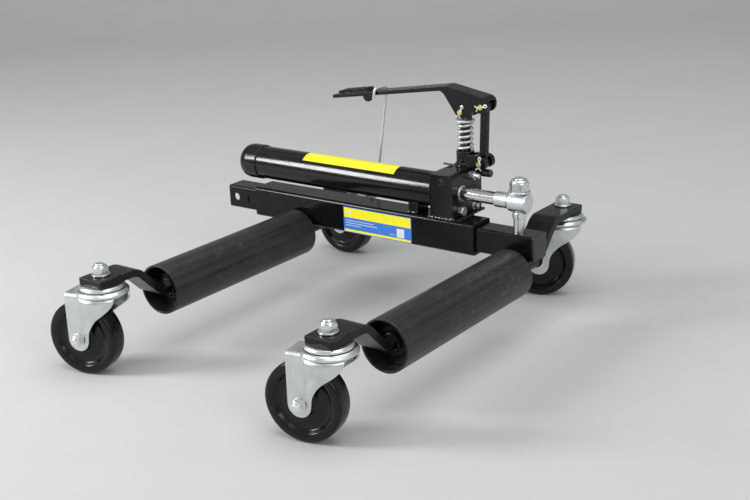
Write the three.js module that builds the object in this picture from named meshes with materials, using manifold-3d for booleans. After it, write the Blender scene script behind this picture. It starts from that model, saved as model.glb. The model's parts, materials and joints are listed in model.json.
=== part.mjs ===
// Hydraulic wheel dolly: two rollers on a telescopic beam, drawn together by a
// foot-pumped ram, on four swivel casters. Millimetres, +Z up, X along the beam,
// the rollers point towards -Y, the floor is Z = 0.
import * as THREE from 'three';
import { mergeVertices } from 'three/addons/utils/BufferGeometryUtils.js';
import Module from 'manifold-3d';

const wasm = await Module();
wasm.setup();

// ---------------------------------------------------------------- dimensions
const XL = -124;            // left roller axis (fixed arm)
const XR = 243;             // right roller axis (sliding arm)
const Z_AXLE = 90.2;        // height of both roller axes

const BEAM_Y = 129.5;       // beam centre line
const BEAM_Z = 123;
const OUT_A = 45, OUT_T = 4, OUT_X0 = -213, OUT_X1 = 180;   // outer square tube
const IN_A = 35, IN_T = 3, IN_X0 = -271, IN_X1 = 267.7;     // inner square tube
const CAP_T = 3;            // end cap of the inner tube
const LOCK_R = 6, LOCK_X0 = -256.5, LOCK_PITCH = 28.5, LOCK_N = 5;

const AXLE_R = 10, AXLE_Y0 = -177, AXLE_Y1 = 167;
const ROLL_R = 34, ROLL_T = 3, ROLL_Y0 = -191.5, ROLL_Y1 = 99;
const BUSH_R = 30.7;

const STRAP_W = 40, STRAP_T = 10, PLATE_Z = 131;            // bent arm brackets
const Y_FRONT = -278, Y_REAR = 277.4;                       // caster swivel axes
const DX_FRONT = -11.5, DX_REAR = -16.5;                    // caster axis from roller axis

const WHEEL_R = 50, WHEEL_W = 27, TRAIL = 31.7;             // 4 inch casters
const HEADING = { front_left: 193.3, front_right: 190, rear_left: 178, rear_right: 200 };

const CYL_R = 24.6, CYL_BORE = 19.5, CYL_X0 = -208, CYL_X1 = 111.7;
const RAM_Z = 181;
const BLK = { x0: 112, x1: 149, y0: 104.5, y1: 181, z0: 149.3, z1: 210.5 };
const ROD_R = 9, ROD_X0 = -135, ROD_X1 = 204;
const EYE_X = 239.5;

const PLX = 131, PLY = 168;                                 // plunger axis
const P = [163.9, 297.4];                                   // lever to link pivot (x, z)
const Q = [131.0, 287.3];                                   // lever to plunger pivot
const L0 = [161.0, 217.0];                                  // link to block pivot
const GAP = 0.3;

// ------------------------------------------------------------------- helpers
function toSolid(geo) {
  let g = geo.index ? geo.toNonIndexed() : geo.clone();
  for (const n of Object.keys(g.attributes)) if (n !== 'position') g.deleteAttribute(n);
  g = mergeVertices(g, 1e-4);
  const p = g.attributes.position.array, idx = Array.from(g.index.array);
  const tri = [];
  let vol = 0;
  for (let i = 0; i < idx.length; i += 3) {
    const [a, b, c] = [idx[i], idx[i + 1], idx[i + 2]];
    if (a === b || b === c || a === c) continue;
    tri.push(a, b, c);
    const [ax, ay, az] = [p[3 * a], p[3 * a + 1], p[3 * a + 2]];
    const [bx, by, bz] = [p[3 * b], p[3 * b + 1], p[3 * b + 2]];
    const [cx, cy, cz] = [p[3 * c], p[3 * c + 1], p[3 * c + 2]];
    vol += ax * (by * cz - bz * cy) + ay * (bz * cx - bx * cz) + az * (bx * cy - by * cx);
  }
  if (vol < 0) for (let i = 0; i < tri.length; i += 3) [tri[i], tri[i + 1]] = [tri[i + 1], tri[i]];
  return new wasm.Manifold(new wasm.Mesh({
    numProp: 3, vertProperties: new Float32Array(p), triVerts: new Uint32Array(tri) }));
}
function toGeometry(solid) {
  const m = solid.getMesh();
  const np = m.numProp, n = m.vertProperties.length / np;
  const pos = new Float32Array(n * 3);
  for (let i = 0; i < n; i++) for (let k = 0; k < 3; k++) pos[3 * i + k] = m.vertProperties[np * i + k];
  const g = new THREE.BufferGeometry();
  g.setAttribute('position', new THREE.BufferAttribute(pos, 3));
  g.setIndex(new THREE.BufferAttribute(new Uint32Array(m.triVerts), 1));
  g.computeVertexNormals();
  return g;
}
const moved = (geo, x, y, z) => geo.translate(x, y, z);
// box from its two corners
function box(x0, y0, z0, x1, y1, z1) {
  return toSolid(moved(new THREE.BoxGeometry(x1 - x0, y1 - y0, z1 - z0), (x0 + x1) / 2, (y0 + y1) / 2, (z0 + z1) / 2));
}
// round bar along an axis, from a to b, at the two other coordinates (c, d)
function bar(axis, a, b, c, d, r, seg = 32, r2 = r) {
  const g = new THREE.CylinderGeometry(r2, r, b - a, seg);   // along +Y, r at the low end
  if (axis === 'x') { g.rotateZ(-Math.PI / 2); g.translate((a + b) / 2, c, d); }
  if (axis === 'y') g.translate(c, (a + b) / 2, d);
  if (axis === 'z') { g.rotateX(Math.PI / 2); g.translate(c, d, (a + b) / 2); }
  return toSolid(g);
}
// solid of revolution from (radius, height) pairs, turned to lie along an axis
function lathe(pts, axis, seg = 36) {
  const g = new THREE.LatheGeometry(pts.map(([r, h]) => new THREE.Vector2(r, h)), seg);
  if (axis === 'x') g.rotateZ(-Math.PI / 2);
  if (axis === 'z') g.rotateX(Math.PI / 2);
  return g;
}
// outline in XZ, extruded along Y from y0 to y1
function plateXZ(pts, y0, y1) {
  const g = new THREE.ExtrudeGeometry(new THREE.Shape(pts.map(([x, z]) => new THREE.Vector2(x, z))),
    { depth: y1 - y0, bevelEnabled: false });
  g.rotateX(Math.PI / 2);                                   // (x, z, d) -> (x, -d, z)
  g.translate(0, y1, 0);
  return toSolid(g);
}
// outline in YZ, extruded along X from x0 to x1
function plateYZ(pts, x0, x1) {
  const g = new THREE.ExtrudeGeometry(new THREE.Shape(pts.map(([y, z]) => new THREE.Vector2(y, z))),
    { depth: x1 - x0, bevelEnabled: false });
  g.rotateY(Math.PI / 2);                                   // (y, z, d) -> (d, z, -y)
  g.rotateX(Math.PI / 2);                                   // -> (d, y, z)
  g.translate(x0, 0, 0);
  return toSolid(g);
}
// rounds the corners of a polyline
function fillet(pts, r, n = 5) {
  const out = [pts[0]];
  for (let i = 1; i < pts.length - 1; i++) {
    const [a, b, c] = [pts[i - 1], pts[i], pts[i + 1]].map((q) => new THREE.Vector2(...q));
    const u = a.clone().sub(b).normalize(), v = c.clone().sub(b).normalize();
    const half = Math.acos(THREE.MathUtils.clamp(u.dot(v), -1, 1)) / 2;
    const t = Math.min(r / Math.tan(half), a.distanceTo(b) * 0.49, c.distanceTo(b) * 0.49);
    const p0 = b.clone().addScaledVector(u, t), p1 = b.clone().addScaledVector(v, t);
    const q = new THREE.QuadraticBezierCurve(p0, b, p1);
    for (let k = 0; k <= n; k++) { const s = q.getPoint(k / n); out.push([s.x, s.y]); }
  }
  out.push(pts[pts.length - 1]);
  return out;
}
// outline of a bent flat bar around a centre line
function strip(line, t) {
  const L = [], R = [];
  for (let i = 0; i < line.length; i++) {
    const a = line[Math.max(i - 1, 0)], b = line[Math.min(i + 1, line.length - 1)];
    const d = new THREE.Vector2(b[0] - a[0], b[1] - a[1]).normalize();
    L.push([line[i][0] - d.y * t / 2, line[i][1] + d.x * t / 2]);
    R.push([line[i][0] + d.y * t / 2, line[i][1] - d.x * t / 2]);
  }
  return L.concat(R.reverse());
}
// rectangle with rounded corners, as (a, b) pairs about a centre
function roundRect(ca, cb, wa, wb, r, n = 3) {
  const out = [];
  for (const [sa, sb, a0] of [[1, 1, 0], [-1, 1, 90], [-1, -1, 180], [1, -1, 270]])
    for (let k = 0; k <= n; k++) {
      const t = THREE.MathUtils.degToRad(a0 + 90 * k / n);
      out.push([ca + sa * (wa / 2 - r) + r * Math.cos(t), cb + sb * (wb / 2 - r) + r * Math.sin(t)]);
    }
  return out;
}
const arc = (cx, cy, r, a0, a1, n) => Array.from({ length: n + 1 }, (_, k) => {
  const t = THREE.MathUtils.degToRad(a0 + (a1 - a0) * k / n);
  return [cx + r * Math.cos(t), cy + r * Math.sin(t)];
});

const paint = () => new THREE.MeshStandardMaterial({ color: 0x0d0d0e, roughness: 0.28, metalness: 0.1 });
const satin = () => new THREE.MeshStandardMaterial({ color: 0x1a1a1b, roughness: 0.5, metalness: 0.15 });
const zinc = () => new THREE.MeshStandardMaterial({ color: 0xc4c9cc, roughness: 0.32, metalness: 0.9 });
const chrome = () => new THREE.MeshStandardMaterial({ color: 0xd8dadc, roughness: 0.15, metalness: 1 });
const yellow = () => new THREE.MeshStandardMaterial({ color: 0xc9b06a, roughness: 0.4, metalness: 0.85 });
const poly = () => new THREE.MeshStandardMaterial({ color: 0x0b0b0c, roughness: 0.22, metalness: 0 });

const group = new THREE.Group();
function add(name, solid, material, parent = group) {
  const mesh = new THREE.Mesh(toGeometry(solid), material);
  mesh.name = name;
  parent.add(mesh);
  return mesh;
}

// ---------------------------------------------------------- telescopic beam
function squareTube(a, t, x0, x1, r) {
  const outer = plateYZ(roundRect(BEAM_Y, BEAM_Z, a, a, r), x0, x1);
  const inner = plateYZ(roundRect(BEAM_Y, BEAM_Z, a - 2 * t, a - 2 * t, Math.max(r - t, 0.8), 1), x0 - 5, x1 + 5);
  return outer.subtract(inner);
}
add('outer_tube', squareTube(OUT_A, OUT_T, OUT_X0, OUT_X1, 4.6), paint());

let innerTube = squareTube(IN_A, IN_T, IN_X0, IN_X1, 3.6);
for (let i = 0; i < LOCK_N; i++)
  innerTube = innerTube.subtract(bar('y', BEAM_Y - 30, BEAM_Y + 30, LOCK_X0 + i * LOCK_PITCH, BEAM_Z, LOCK_R, 14));
innerTube = innerTube.subtract(bar('z', BEAM_Z, BEAM_Z + 30, EYE_X, BEAM_Y, 8.4, 20));
add('inner_tube', innerTube, paint());
add('inner_tube_end_cap', plateYZ(roundRect(BEAM_Y, BEAM_Z, IN_A, IN_A, 3.6), IN_X1 + GAP, IN_X1 + GAP + CAP_T)
  .add(plateYZ(roundRect(BEAM_Y, BEAM_Z, IN_A - 2 * IN_T - 1, IN_A - 2 * IN_T - 1, 2, 1), IN_X1 - 10, IN_X1 + GAP + 1)), satin());

// ------------------------------------------------------------- roller arms
function axle(x) {
  return bar('y', AXLE_Y0, AXLE_Y1, x, Z_AXLE, AXLE_R, 32);
}
add('left_axle', axle(XL), paint());
add('right_axle', axle(XR), paint());
add('right_axle_saddle', box(XR - 20, BEAM_Y - 17, Z_AXLE + AXLE_R + GAP, XR + 20, BEAM_Y + 17, BEAM_Z - IN_A / 2 - GAP), paint());

function roller(x) {
  const R = ROLL_R, r = ROLL_R - ROLL_T, a = ROLL_Y0, b = ROLL_Y1, c = 0.8;
  const g = lathe([[r, a], [R - c, a], [R, a + c], [R, b - c], [R - c, b], [r, b], [r, a]], 'y', 36);
  return toSolid(moved(g, x, 0, Z_AXLE));
}
add('left_roller', roller(XL), satin());
add('right_roller', roller(XR), satin());

// end bush: a disc pressed into the roller tube with a raised hub round the axle
function bush(x, y, out) {
  const r0 = AXLE_R + 0.3;
  const g = lathe([[r0, -3], [BUSH_R, -3], [BUSH_R, 3], [20, 3], [18.5, 6.5], [r0, 6.5], [r0, -3]], 'y', 24);
  if (out < 0) g.rotateX(Math.PI);
  return toSolid(moved(g, x, y, Z_AXLE));
}
add('left_roller_front_bush', bush(XL, ROLL_Y0 + 26, -1), satin());
add('left_roller_rear_bush', bush(XL, ROLL_Y1 - 15, 1), satin());
add('right_roller_front_bush', bush(XR, ROLL_Y0 + 26, -1), satin());
add('right_roller_rear_bush', bush(XR, ROLL_Y1 - 15, 1), satin());

function frontBracket(x) {
  const line = fillet([[-299, PLATE_Z], [-235, PLATE_Z], [-194.2, Z_AXLE], [AXLE_Y0 - GAP, Z_AXLE]], 14);
  return plateYZ(strip(line, STRAP_T), x - 29.3, x + 10.7)
    .subtract(bar('z', PLATE_Z - 9, PLATE_Z + 9, x + DX_FRONT, Y_FRONT, 6.5, 24));
}
function rearBracket(x) {
  const line = fillet([[296, PLATE_Z], [219, PLATE_Z], [178.2, Z_AXLE], [AXLE_Y1 + GAP, Z_AXLE]], 14);
  return plateYZ(strip(line, STRAP_T), x - 35, x + 5)
    .subtract(bar('z', PLATE_Z - 9, PLATE_Z + 9, x + DX_REAR, Y_REAR, 6.5, 24));
}
add('left_front_bracket', frontBracket(XL), paint());
add('left_rear_bracket', rearBracket(XL), paint());
add('right_front_bracket', frontBracket(XR), paint());
add('right_rear_bracket', rearBracket(XR), paint());

// ------------------------------------------------------------------ casters
// modelled at the swivel axis, floor at 0, the wheel trailing towards +X
const PLATE_TOP = PLATE_Z + STRAP_T / 2, PLATE_BOT = PLATE_Z - STRAP_T / 2;
function casterStem() {
  const z = PLATE_BOT - GAP;
  return toSolid(lathe([[0, 107], [14, 107], [14, 111.2], [10.2, 111.4], [10.2, z - 5], [29, z - 5],
    [28, z], [6, z], [6, 152], [0, 152]], 'z', 24));
}
function casterNut() {
  const z = PLATE_TOP + GAP;
  const hex = bar('z', z + 2.2, z + 11.5, 0, 0, 10.9, 6);
  const washer = bar('z', z, z + 2.4, 0, 0, 12, 20);
  const collar = bar('z', z + 11.3, z + 14, 0, 0, 8.8, 16, 7.6);
  return washer.add(hex).add(collar).subtract(bar('z', z - 2, z + 20, 0, 0, 6.4, 16));
}
function casterFork() {
  const t = 2.8, yi = 16.2, yo = yi + t, zc = PLATE_BOT - GAP - 5.4;
  // swivel head over the pressed crown
  const head = toSolid(lathe([[10.7, 111.7], [33.4, 111.7], [34.5, 114.4], [29.6, zc], [10.7, zc], [10.7, 111.7]], 'z', 24));
  const crown = plateXZ([[-26, 109], [45, 109], [46.7, 110.5], [46.7, 112.6], [45.4, 113.6], [-26, 113.6]], -yo, yo);
  const side = [[46.7, 112]].concat(arc(TRAIL, WHEEL_R, 15, 0, -180, 8),
    [[16.4, 56], [13, 66], [5.5, 76], [-4, 84.6], [-15, 92.4], [-25, 99], [-30, 104], [-30, 113]]);
  const legs = plateXZ(side, -yo, -yi).add(plateXZ(side, yi, yo));
  const core = bar('z', 100, 130, 0, 0, 10.7, 24);
  const under = bar('z', 100, 111.7, 0, 0, 15, 20);
  return head.add(crown).add(legs).subtract(core).subtract(under)
    .subtract(bar('y', -30, 30, TRAIL, WHEEL_R, 5.3, 14));
}
function casterWheel() {
  const w = WHEEL_W / 2, R = WHEEL_R;
  const half = [[6.4, 15.6], [14, 15.6], [16, 7.6], [35.5, 7.2], [41, w], [46, w], [R, w - 7]];
  const all = half.concat(half.slice().reverse().map(([r, h]) => [r, -h]), [half[0]]);
  return toSolid(moved(lathe(all, 'y', 28), TRAIL, 0, WHEEL_R));
}
function casterBolt() {
  const s = 19 + GAP;
  return bar('y', -s - 1, s + 1, TRAIL, WHEEL_R, 4.9, 14)
    .add(bar('y', -s - 6.2, -s, TRAIL, WHEEL_R, 8.6, 6)).add(bar('y', s, s + 7.5, TRAIL, WHEEL_R, 8.6, 6))
    .add(bar('y', s + 7.4, s + 9.5, TRAIL, WHEEL_R, 4.9, 14));
}
for (const [pos, x, y] of [['front_left', XL + DX_FRONT, Y_FRONT], ['front_right', XR + DX_FRONT, Y_FRONT],
  ['rear_left', XL + DX_REAR, Y_REAR], ['rear_right', XR + DX_REAR, Y_REAR]]) {
  const caster = new THREE.Group();
  caster.position.set(x, y, 0);
  const swivel = new THREE.Group();
  swivel.rotation.z = THREE.MathUtils.degToRad(HEADING[pos]);
  caster.add(swivel);
  group.add(caster);
  add(pos + '_caster_stem', casterStem(), zinc(), caster);
  add(pos + '_caster_nut', casterNut(), zinc(), caster);
  add(pos + '_caster_fork', casterFork(), zinc(), swivel);
  add(pos + '_caster_wheel', casterWheel(), poly(), swivel);
  add(pos + '_caster_axle_bolt', casterBolt(), zinc(), swivel);
}

// --------------------------------------------------------------------- pump
const tubeX = (x0, x1, R, r, seg = 32) => bar('x', x0, x1, BEAM_Y, RAM_Z, R, seg).subtract(bar('x', x0 - 5, x1 + 5, BEAM_Y, RAM_Z, r, seg));
add('pump_cylinder', tubeX(CYL_X0 + GAP, CYL_X1, CYL_R, CYL_BORE), paint());

// end cap: a cup with a rounded bottom
{
  const e = -244.5, g = lathe([[0, 0], [14, 0.8], [20.6, 3.4], [24.6, 8.6], [26.2, 16],
    [26.2, CYL_X0 - e], [19, CYL_X0 - e], [19, 14], [0, 14]], 'y', 28);
  g.rotateZ(-Math.PI / 2);
  g.translate(e, BEAM_Y, RAM_Z);
  add('pump_end_cap', toSolid(g), paint());
}

// manifold block, bored for the rod and for the plunger
{
  const { x0, x1, y0, y1, z0, z1 } = BLK, c = 7;
  const outline = [[x0, z0], [x1, z0]].concat(arc(x1 - c, z1 - c, c, 0, 90, 4), arc(x0 + 2, z1 - 2, 2, 90, 180, 2));
  const blk = plateXZ(outline, y0, y1)
    .subtract(bar('x', x0 - 5, x1 + 5, BEAM_Y, RAM_Z, ROD_R + 0.4, 32))
    .subtract(bar('z', 188, z1 + 5, PLX, PLY, 7.6, 28));
  add('pump_block', blk, paint());
}
add('pump_base_plate', box(BLK.x0 - 5, BLK.y0 + 1, BEAM_Z + OUT_A / 2 + GAP, BLK.x1 + 6, BLK.y1 - 1, BLK.z0 - GAP), paint());
add('pump_support', box(68, BEAM_Y - 14, BEAM_Z + OUT_A / 2 + GAP, 83, BEAM_Y + 14, RAM_Z - 16)
  .subtract(bar('x', 50, 100, BEAM_Y, RAM_Z, CYL_R + GAP, 40)), paint());

// ram: piston and rod in one, forged eye, clamping pin with its nut
add('ram_rod', bar('x', ROD_X0, ROD_X1 - GAP, BEAM_Y, RAM_Z, ROD_R, 32)
  .add(bar('x', ROD_X0 - 18, ROD_X0 + 1, BEAM_Y, RAM_Z, CYL_BORE - 0.4, 36)), chrome());
add('ram_eye', bar('x', ROD_X1, 227, BEAM_Y, RAM_Z, 11, 32).add(bar('x', 226, 253.5, BEAM_Y, RAM_Z, 13.75, 36))
  .subtract(bar('z', 150, 220, EYE_X, BEAM_Y, 8.4, 24)), zinc());
add('ram_pin', bar('z', BEAM_Z - IN_A / 2 + IN_T + GAP, 215, EYE_X, BEAM_Y, 8, 28)
  .add(bar('z', RAM_Z - 22, RAM_Z - 14.3, EYE_X, BEAM_Y, 9.6, 28)), zinc());
{
  const z = RAM_Z + 13.75 + GAP;
  add('ram_pin_nut', bar('z', z, z + 2.6, EYE_X, BEAM_Y, 15, 32).add(bar('z', z + 2.4, z + 14.6, EYE_X, BEAM_Y, 13.8, 6))
    .add(bar('z', z + 14.4, z + 18, EYE_X, BEAM_Y, 11.6, 28, 10))
    .subtract(bar('z', z - 3, z + 30, EYE_X, BEAM_Y, 8.3, 24)), zinc());
}

// plunger housing with the two lugs that carry the link
{
  const z0 = BLK.z1 + GAP;
  const lug = [[140, z0], [140, 227]].concat([[156, 229], [164, 228.4], [169.4, 225.6], [171.8, 220], [171.6, 214], [168.6, 210.4], [163, 209.4],
    [150, 209.4], [149.8, z0]]);
  const housing = bar('z', z0, 231.3, PLX, PLY, 12.8, 36)
    .add(bar('z', z0, z0 + 4, PLX, PLY, 14.2, 36))
    .add(plateXZ(lug, PLY - 13, PLY - 5)).add(plateXZ(lug, PLY + 5, PLY + 13))
    .subtract(bar('z', 200, 240, PLX, PLY, 7.6, 28))
    .subtract(bar('y', PLY - 20, PLY + 20, L0[0], L0[1], 4.3, 14));
  add('plunger_housing', housing, paint());
}

// plunger: stem in the housing, eye between the lever cheeks; the pin has play here
const HEAD_W = 6.6;
add('plunger', bar('z', 206, 282, PLX, PLY, 7, 28)
  .add(plateXZ([[PLX - 8, 276], [PLX + 8, 276]].concat(arc(Q[0], Q[1] + 0.6, 8, 0, 180, 10)), PLY - HEAD_W, PLY + HEAD_W))
  .subtract(bar('y', PLY - 20, PLY + 20, Q[0], Q[1], 5.4, 24)), satin());
add('spring_washer', bar('z', 272.3, 275.7, PLX, PLY, 14, 32).subtract(bar('z', 260, 280, PLX, PLY, 7.3, 28)), zinc());

// compression spring, wire 3.6, outside diameter 24.4
{
  const rw = 1.8, r = 10.4, z0 = 231.6 + rw, z1 = 272.0 - rw, turns = 5.5;
  class Helix extends THREE.Curve {
    getPoint(t, v = new THREE.Vector3()) {
      const a = 2 * Math.PI * turns * t;
      const e = 0.09, s = t < e ? 0.25 * t : t > 1 - e ? 1 - 0.25 * (1 - t) : 0.25 * e + (t - e) * (1 - 0.5 * e) / (1 - 2 * e);
      return v.set(PLX + r * Math.cos(a), PLY + r * Math.sin(a), z0 + (z1 - z0) * s);
    }
  }
  const ring = new THREE.Shape(Array.from({ length: 6 }, (_, k) => new THREE.Vector2(
    rw * Math.cos(2 * Math.PI * k / 6), rw * Math.sin(2 * Math.PI * k / 6))));
  const g = new THREE.ExtrudeGeometry(ring, { steps: 66, bevelEnabled: false, extrudePath: new Helix(), curveSegments: 1 });
  add('plunger_spring', toSolid(g), zinc());
}

// lever: an inverted channel, deep cheeks at the pivots and a long flat handle
const HALF = 12.5, CHEEK = 4, LEAN = Math.atan2(30.6, 198);
{
  const top = [[-91, 291.6], [107, 322.2], [168, 311.2], [173.4, 307.6]];
  const under = [[175.2, 302], [174.4, 295], [171, 290.4], [165, 288.2], [158, 288.4], [152, 289.6], [147.6, 285], [143, 281],
    [136, 279.2], [128, 279.2], [124.6, 281.4], [104, 310.4], [98, 314.2], [-90.6, 286.4]];
  const outline = top.concat(under);
  const inside = [[-84, 289.6], [106.4, 318.6], [167, 307.4], [180, 305], [180, 240], [20, 240], [-84, 270]];
  const lever = plateXZ(outline, PLY - HALF, PLY + HALF)
    .subtract(plateXZ(inside, PLY - HALF + CHEEK, PLY + HALF - CHEEK))
    .add(plateXZ([[-36, 298], [-34.6, 292], [-32, 288.6], [-28, 287], [-24, 287.6], [-21, 290.6], [-19, 300]], PLY - HALF, PLY - HALF + 5))
    .subtract(bar('y', PLY - 20, PLY + 20, P[0], P[1], 4.3, 14))
    .subtract(bar('y', PLY - 20, PLY + 20, Q[0], Q[1], 4.3, 14));
  add('pump_lever', lever, paint());
}
// foot pad: a tread plate with ridges right across it, laid along the end of the handle
{
  const n = 8, len = 50, pitch = len / n;
  const saw = [[0, 0], [0, 2.6]];
  for (let i = 0; i < n; i++) saw.push([i * pitch + 0.9, 4.6], [(i + 0.5) * pitch, 4.6], [(i + 0.66) * pitch, 2.6], [(i + 1) * pitch - 0.2, 2.6]);
  saw.push([len, 0]);
  const pad = plateXZ(saw, -HALF, HALF);
  const a = LEAN;
  const mesh = add('foot_pad', pad, paint());
  mesh.rotation.y = -a;
  mesh.position.set(-79 - 0.35 * Math.sin(a), PLY, 291.6 + 12 * Math.tan(a) + 0.36);
}

// link between the block lugs and the lever
{
  const dx = P[0] - L0[0], dz = P[1] - L0[1], len = Math.hypot(dx, dz), w = 5.6;
  const outline = arc(0, 0, 7.6, 135, 405, 10).concat([[w, 9], [w, len - 9]], arc(0, len, 7.6, -45, 225, 10), [[-w, len - 9], [-w, 9]]);
  const link = plateXZ(outline, -3.6, 3.6)
    .subtract(bar('y', -9, 9, 0, 0, 4.3, 14)).subtract(bar('y', -9, 9, 0, len, 4.3, 14));
  const mesh = add('lever_link', link, paint());
  mesh.position.set(L0[0], PLY, L0[1]);
  mesh.rotation.y = Math.atan2(dx, dz);
}
// clevis pins, with a head at the rear and a split-pin groove at the front
const clevis = (x, z, half) => bar('y', PLY - half, PLY + half, x, z, 4, 20).add(bar('y', PLY + half - 0.5, PLY + half + 2, x, z, 6.2, 20));
add('plunger_pin', clevis(Q[0], Q[1], 13.8), yellow());
add('link_upper_pin', clevis(P[0], P[1], 13.8), yellow());
add('link_lower_pin', clevis(L0[0], L0[1], 14.2), yellow());

// release valve: a turned knob with a cross hole, on the block's side
add('release_valve', bar('x', BLK.x1 + GAP, BLK.x1 + 9, 172, 201.5, 3.4, 20)
  .add(bar('x', BLK.x1 + 6, BLK.x1 + 20, 172, 201.5, 5.6, 24)).add(bar('x', BLK.x1 + 20, BLK.x1 + 22, 172, 201.5, 5.6, 24, 4.2))
  .subtract(bar('y', 150, 190, BLK.x1 + 14.5, 201.5, 3, 20)), satin());

// bolts and plugs of the block
const bolt = (y, z, r, h) => bar('x', BLK.x1 + GAP, BLK.x1 + GAP + h, y, z, r, 6).add(bar('x', BLK.x1 + GAP + h - 0.5, BLK.x1 + GAP + h + 7, y, z, r * 0.62, 20));
add('block_upper_plug', bolt(149, 202.2, 6, 9), zinc());
add('block_lower_plug', bolt(147, 160.5, 6, 9), zinc());
add('block_front_bolt', bar('x', BLK.x1 + GAP, BLK.x1 + GAP + 9, 121.5, 158, 6.5, 24)
  .subtract(bar('x', BLK.x1 + 5, BLK.x1 + 20, 121.5, 158, 3.4, 6)), zinc());

// pedal hook: a bent wire laid over the lever, hanging behind the pump
{
  const a = LEAN, r = 2;
  const yb = PLY + HALF + 0.9 + r, yf = PLY - HALF - 0.9 - r, zt = 3.4;
  const pts = [[yf + 0.5, -11], [yf, -6], [yf, -0.4], [yf + 0.9, 2.4], [yf + 3.4, zt], [PLY, zt], [yb - 3.4, zt], [yb - 0.9, 2.4], [yb, -0.4], [yb, -8], [yb, -60], [yb, -120],
    [yb, -146], [yb - 1.2, -152], [yb - 5, -156], [yb - 10, -156.5], [yb - 14, -153], [yb - 15.4, -147]]
    .map(([y, z]) => new THREE.Vector3(0, y, z));
  const path = new THREE.CatmullRomCurve3(pts, false, 'centripetal');
  const ring = new THREE.Shape(Array.from({ length: 6 }, (_, k) => new THREE.Vector2(
    r * Math.cos(2 * Math.PI * (k + 0.5) / 6), r * Math.sin(2 * Math.PI * (k + 0.5) / 6))));
  const g = new THREE.ExtrudeGeometry(ring, { steps: 40, bevelEnabled: false, extrudePath: path, curveSegments: 1 });
  const mesh = add('pedal_hook', toSolid(g), zinc());
  mesh.position.set(-12, 0, 303.84);
  mesh.rotation.y = a;
}

// origin: centre of the footprint, on the floor
group.position.set(-3, 1.27, 0);
export default group;
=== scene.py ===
import bpy
import bmesh
import json
import math
import random
from mathutils import Matrix, Vector, noise

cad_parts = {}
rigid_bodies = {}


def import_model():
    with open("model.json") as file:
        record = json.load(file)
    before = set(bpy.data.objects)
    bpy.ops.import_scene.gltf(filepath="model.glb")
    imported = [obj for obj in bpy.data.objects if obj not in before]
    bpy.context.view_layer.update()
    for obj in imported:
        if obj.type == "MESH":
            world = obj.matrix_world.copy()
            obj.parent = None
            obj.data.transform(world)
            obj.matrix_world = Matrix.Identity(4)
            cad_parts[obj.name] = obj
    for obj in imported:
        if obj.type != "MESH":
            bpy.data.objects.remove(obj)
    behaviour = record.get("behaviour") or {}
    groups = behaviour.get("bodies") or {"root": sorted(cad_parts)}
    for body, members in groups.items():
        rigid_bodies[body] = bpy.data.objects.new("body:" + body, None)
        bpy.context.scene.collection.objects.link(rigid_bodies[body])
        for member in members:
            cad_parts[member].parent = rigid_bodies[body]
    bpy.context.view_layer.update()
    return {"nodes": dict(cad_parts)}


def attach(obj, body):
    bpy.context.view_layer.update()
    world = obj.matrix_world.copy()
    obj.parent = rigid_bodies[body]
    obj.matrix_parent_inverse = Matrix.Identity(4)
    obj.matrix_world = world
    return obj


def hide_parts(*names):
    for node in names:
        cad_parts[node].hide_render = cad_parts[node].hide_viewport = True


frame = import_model()
random.seed(7)
noise.seed_set(7)
scene = bpy.context.scene
nodes = frame["nodes"]
pi, rad = math.pi, math.radians


def body_of(node):
    return nodes[node].parent.name.split(":", 1)[1]


# ------------------------------------------------------------------ camera
az, el, roll = rad(36.70272943832725), rad(18.612830138627952), rad(-2.119325129915669)
back = Vector((math.sin(az) * math.cos(el), -math.cos(az) * math.cos(el), math.sin(el)))
right = (-back).cross(Vector((0, 0, 1))).normalized()
up = right.cross(-back)
right2 = math.cos(roll) * right + math.sin(roll) * up
up2 = -math.sin(roll) * right + math.cos(roll) * up
cam_data = bpy.data.cameras.new("camera")
cam = bpy.data.objects.new("camera", cam_data)
scene.collection.objects.link(cam)
m = Matrix((right2, up2, back)).transposed().to_4x4()
m.translation = Vector((1.035761, -1.268031, 0.660022))
cam.matrix_world = m
cam_data.lens, cam_data.sensor_width = 59.956, 36
cam_data.clip_start, cam_data.clip_end = 0.05, 60
cam_data.dof.use_dof = False
scene.camera = cam


# --------------------------------------------------------------- mesh kit
# everything is drawn in millimetres in the part's own coordinates and moved
# to the row frame when the piece is made
def to_row(co):
    return Vector(((co.x - 3.0) / 1000, (co.y + 1.27) / 1000, co.z / 1000))


def arc(cx, cy, r, a0, a1, n):
    return [(cx + r * math.cos(rad(a0 + (a1 - a0) * k / n)), cy + r * math.sin(rad(a0 + (a1 - a0) * k / n))) for k in range(n + 1)]


def rp(pts, n=5, closed=False):
    """Polyline with its corners rounded: each point is (a, b) or (a, b, radius)."""
    out, count = [], len(pts)
    for i, p in enumerate(pts):
        r = p[2] if len(p) > 2 else 0
        if r <= 0 or (not closed and i in (0, count - 1)):
            out.append((p[0], p[1]))
            continue
        a, b, c = Vector(pts[i - 1][:2]), Vector(p[:2]), Vector(pts[(i + 1) % count][:2])
        u, v = (a - b), (c - b)
        lu, lv = u.length, v.length
        u.normalize(), v.normalize()
        half = math.acos(max(-1, min(1, u.dot(v)))) / 2
        if half > 1.565:
            out.append((b.x, b.y))
            continue
        t = min(r / math.tan(half), lu * 0.49, lv * 0.49)
        rr = t * math.tan(half)
        centre = b + (u + v).normalized() * (rr / math.sin(half))
        p0, p1 = b + u * t, b + v * t
        a0 = math.atan2(p0.y - centre.y, p0.x - centre.x)
        a1 = math.atan2(p1.y - centre.y, p1.x - centre.x)
        d = (a1 - a0 + pi) % (2 * pi) - pi
        out += [(centre.x + rr * math.cos(a0 + d * k / n), centre.y + rr * math.sin(a0 + d * k / n)) for k in range(n + 1)]
    return out


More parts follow.
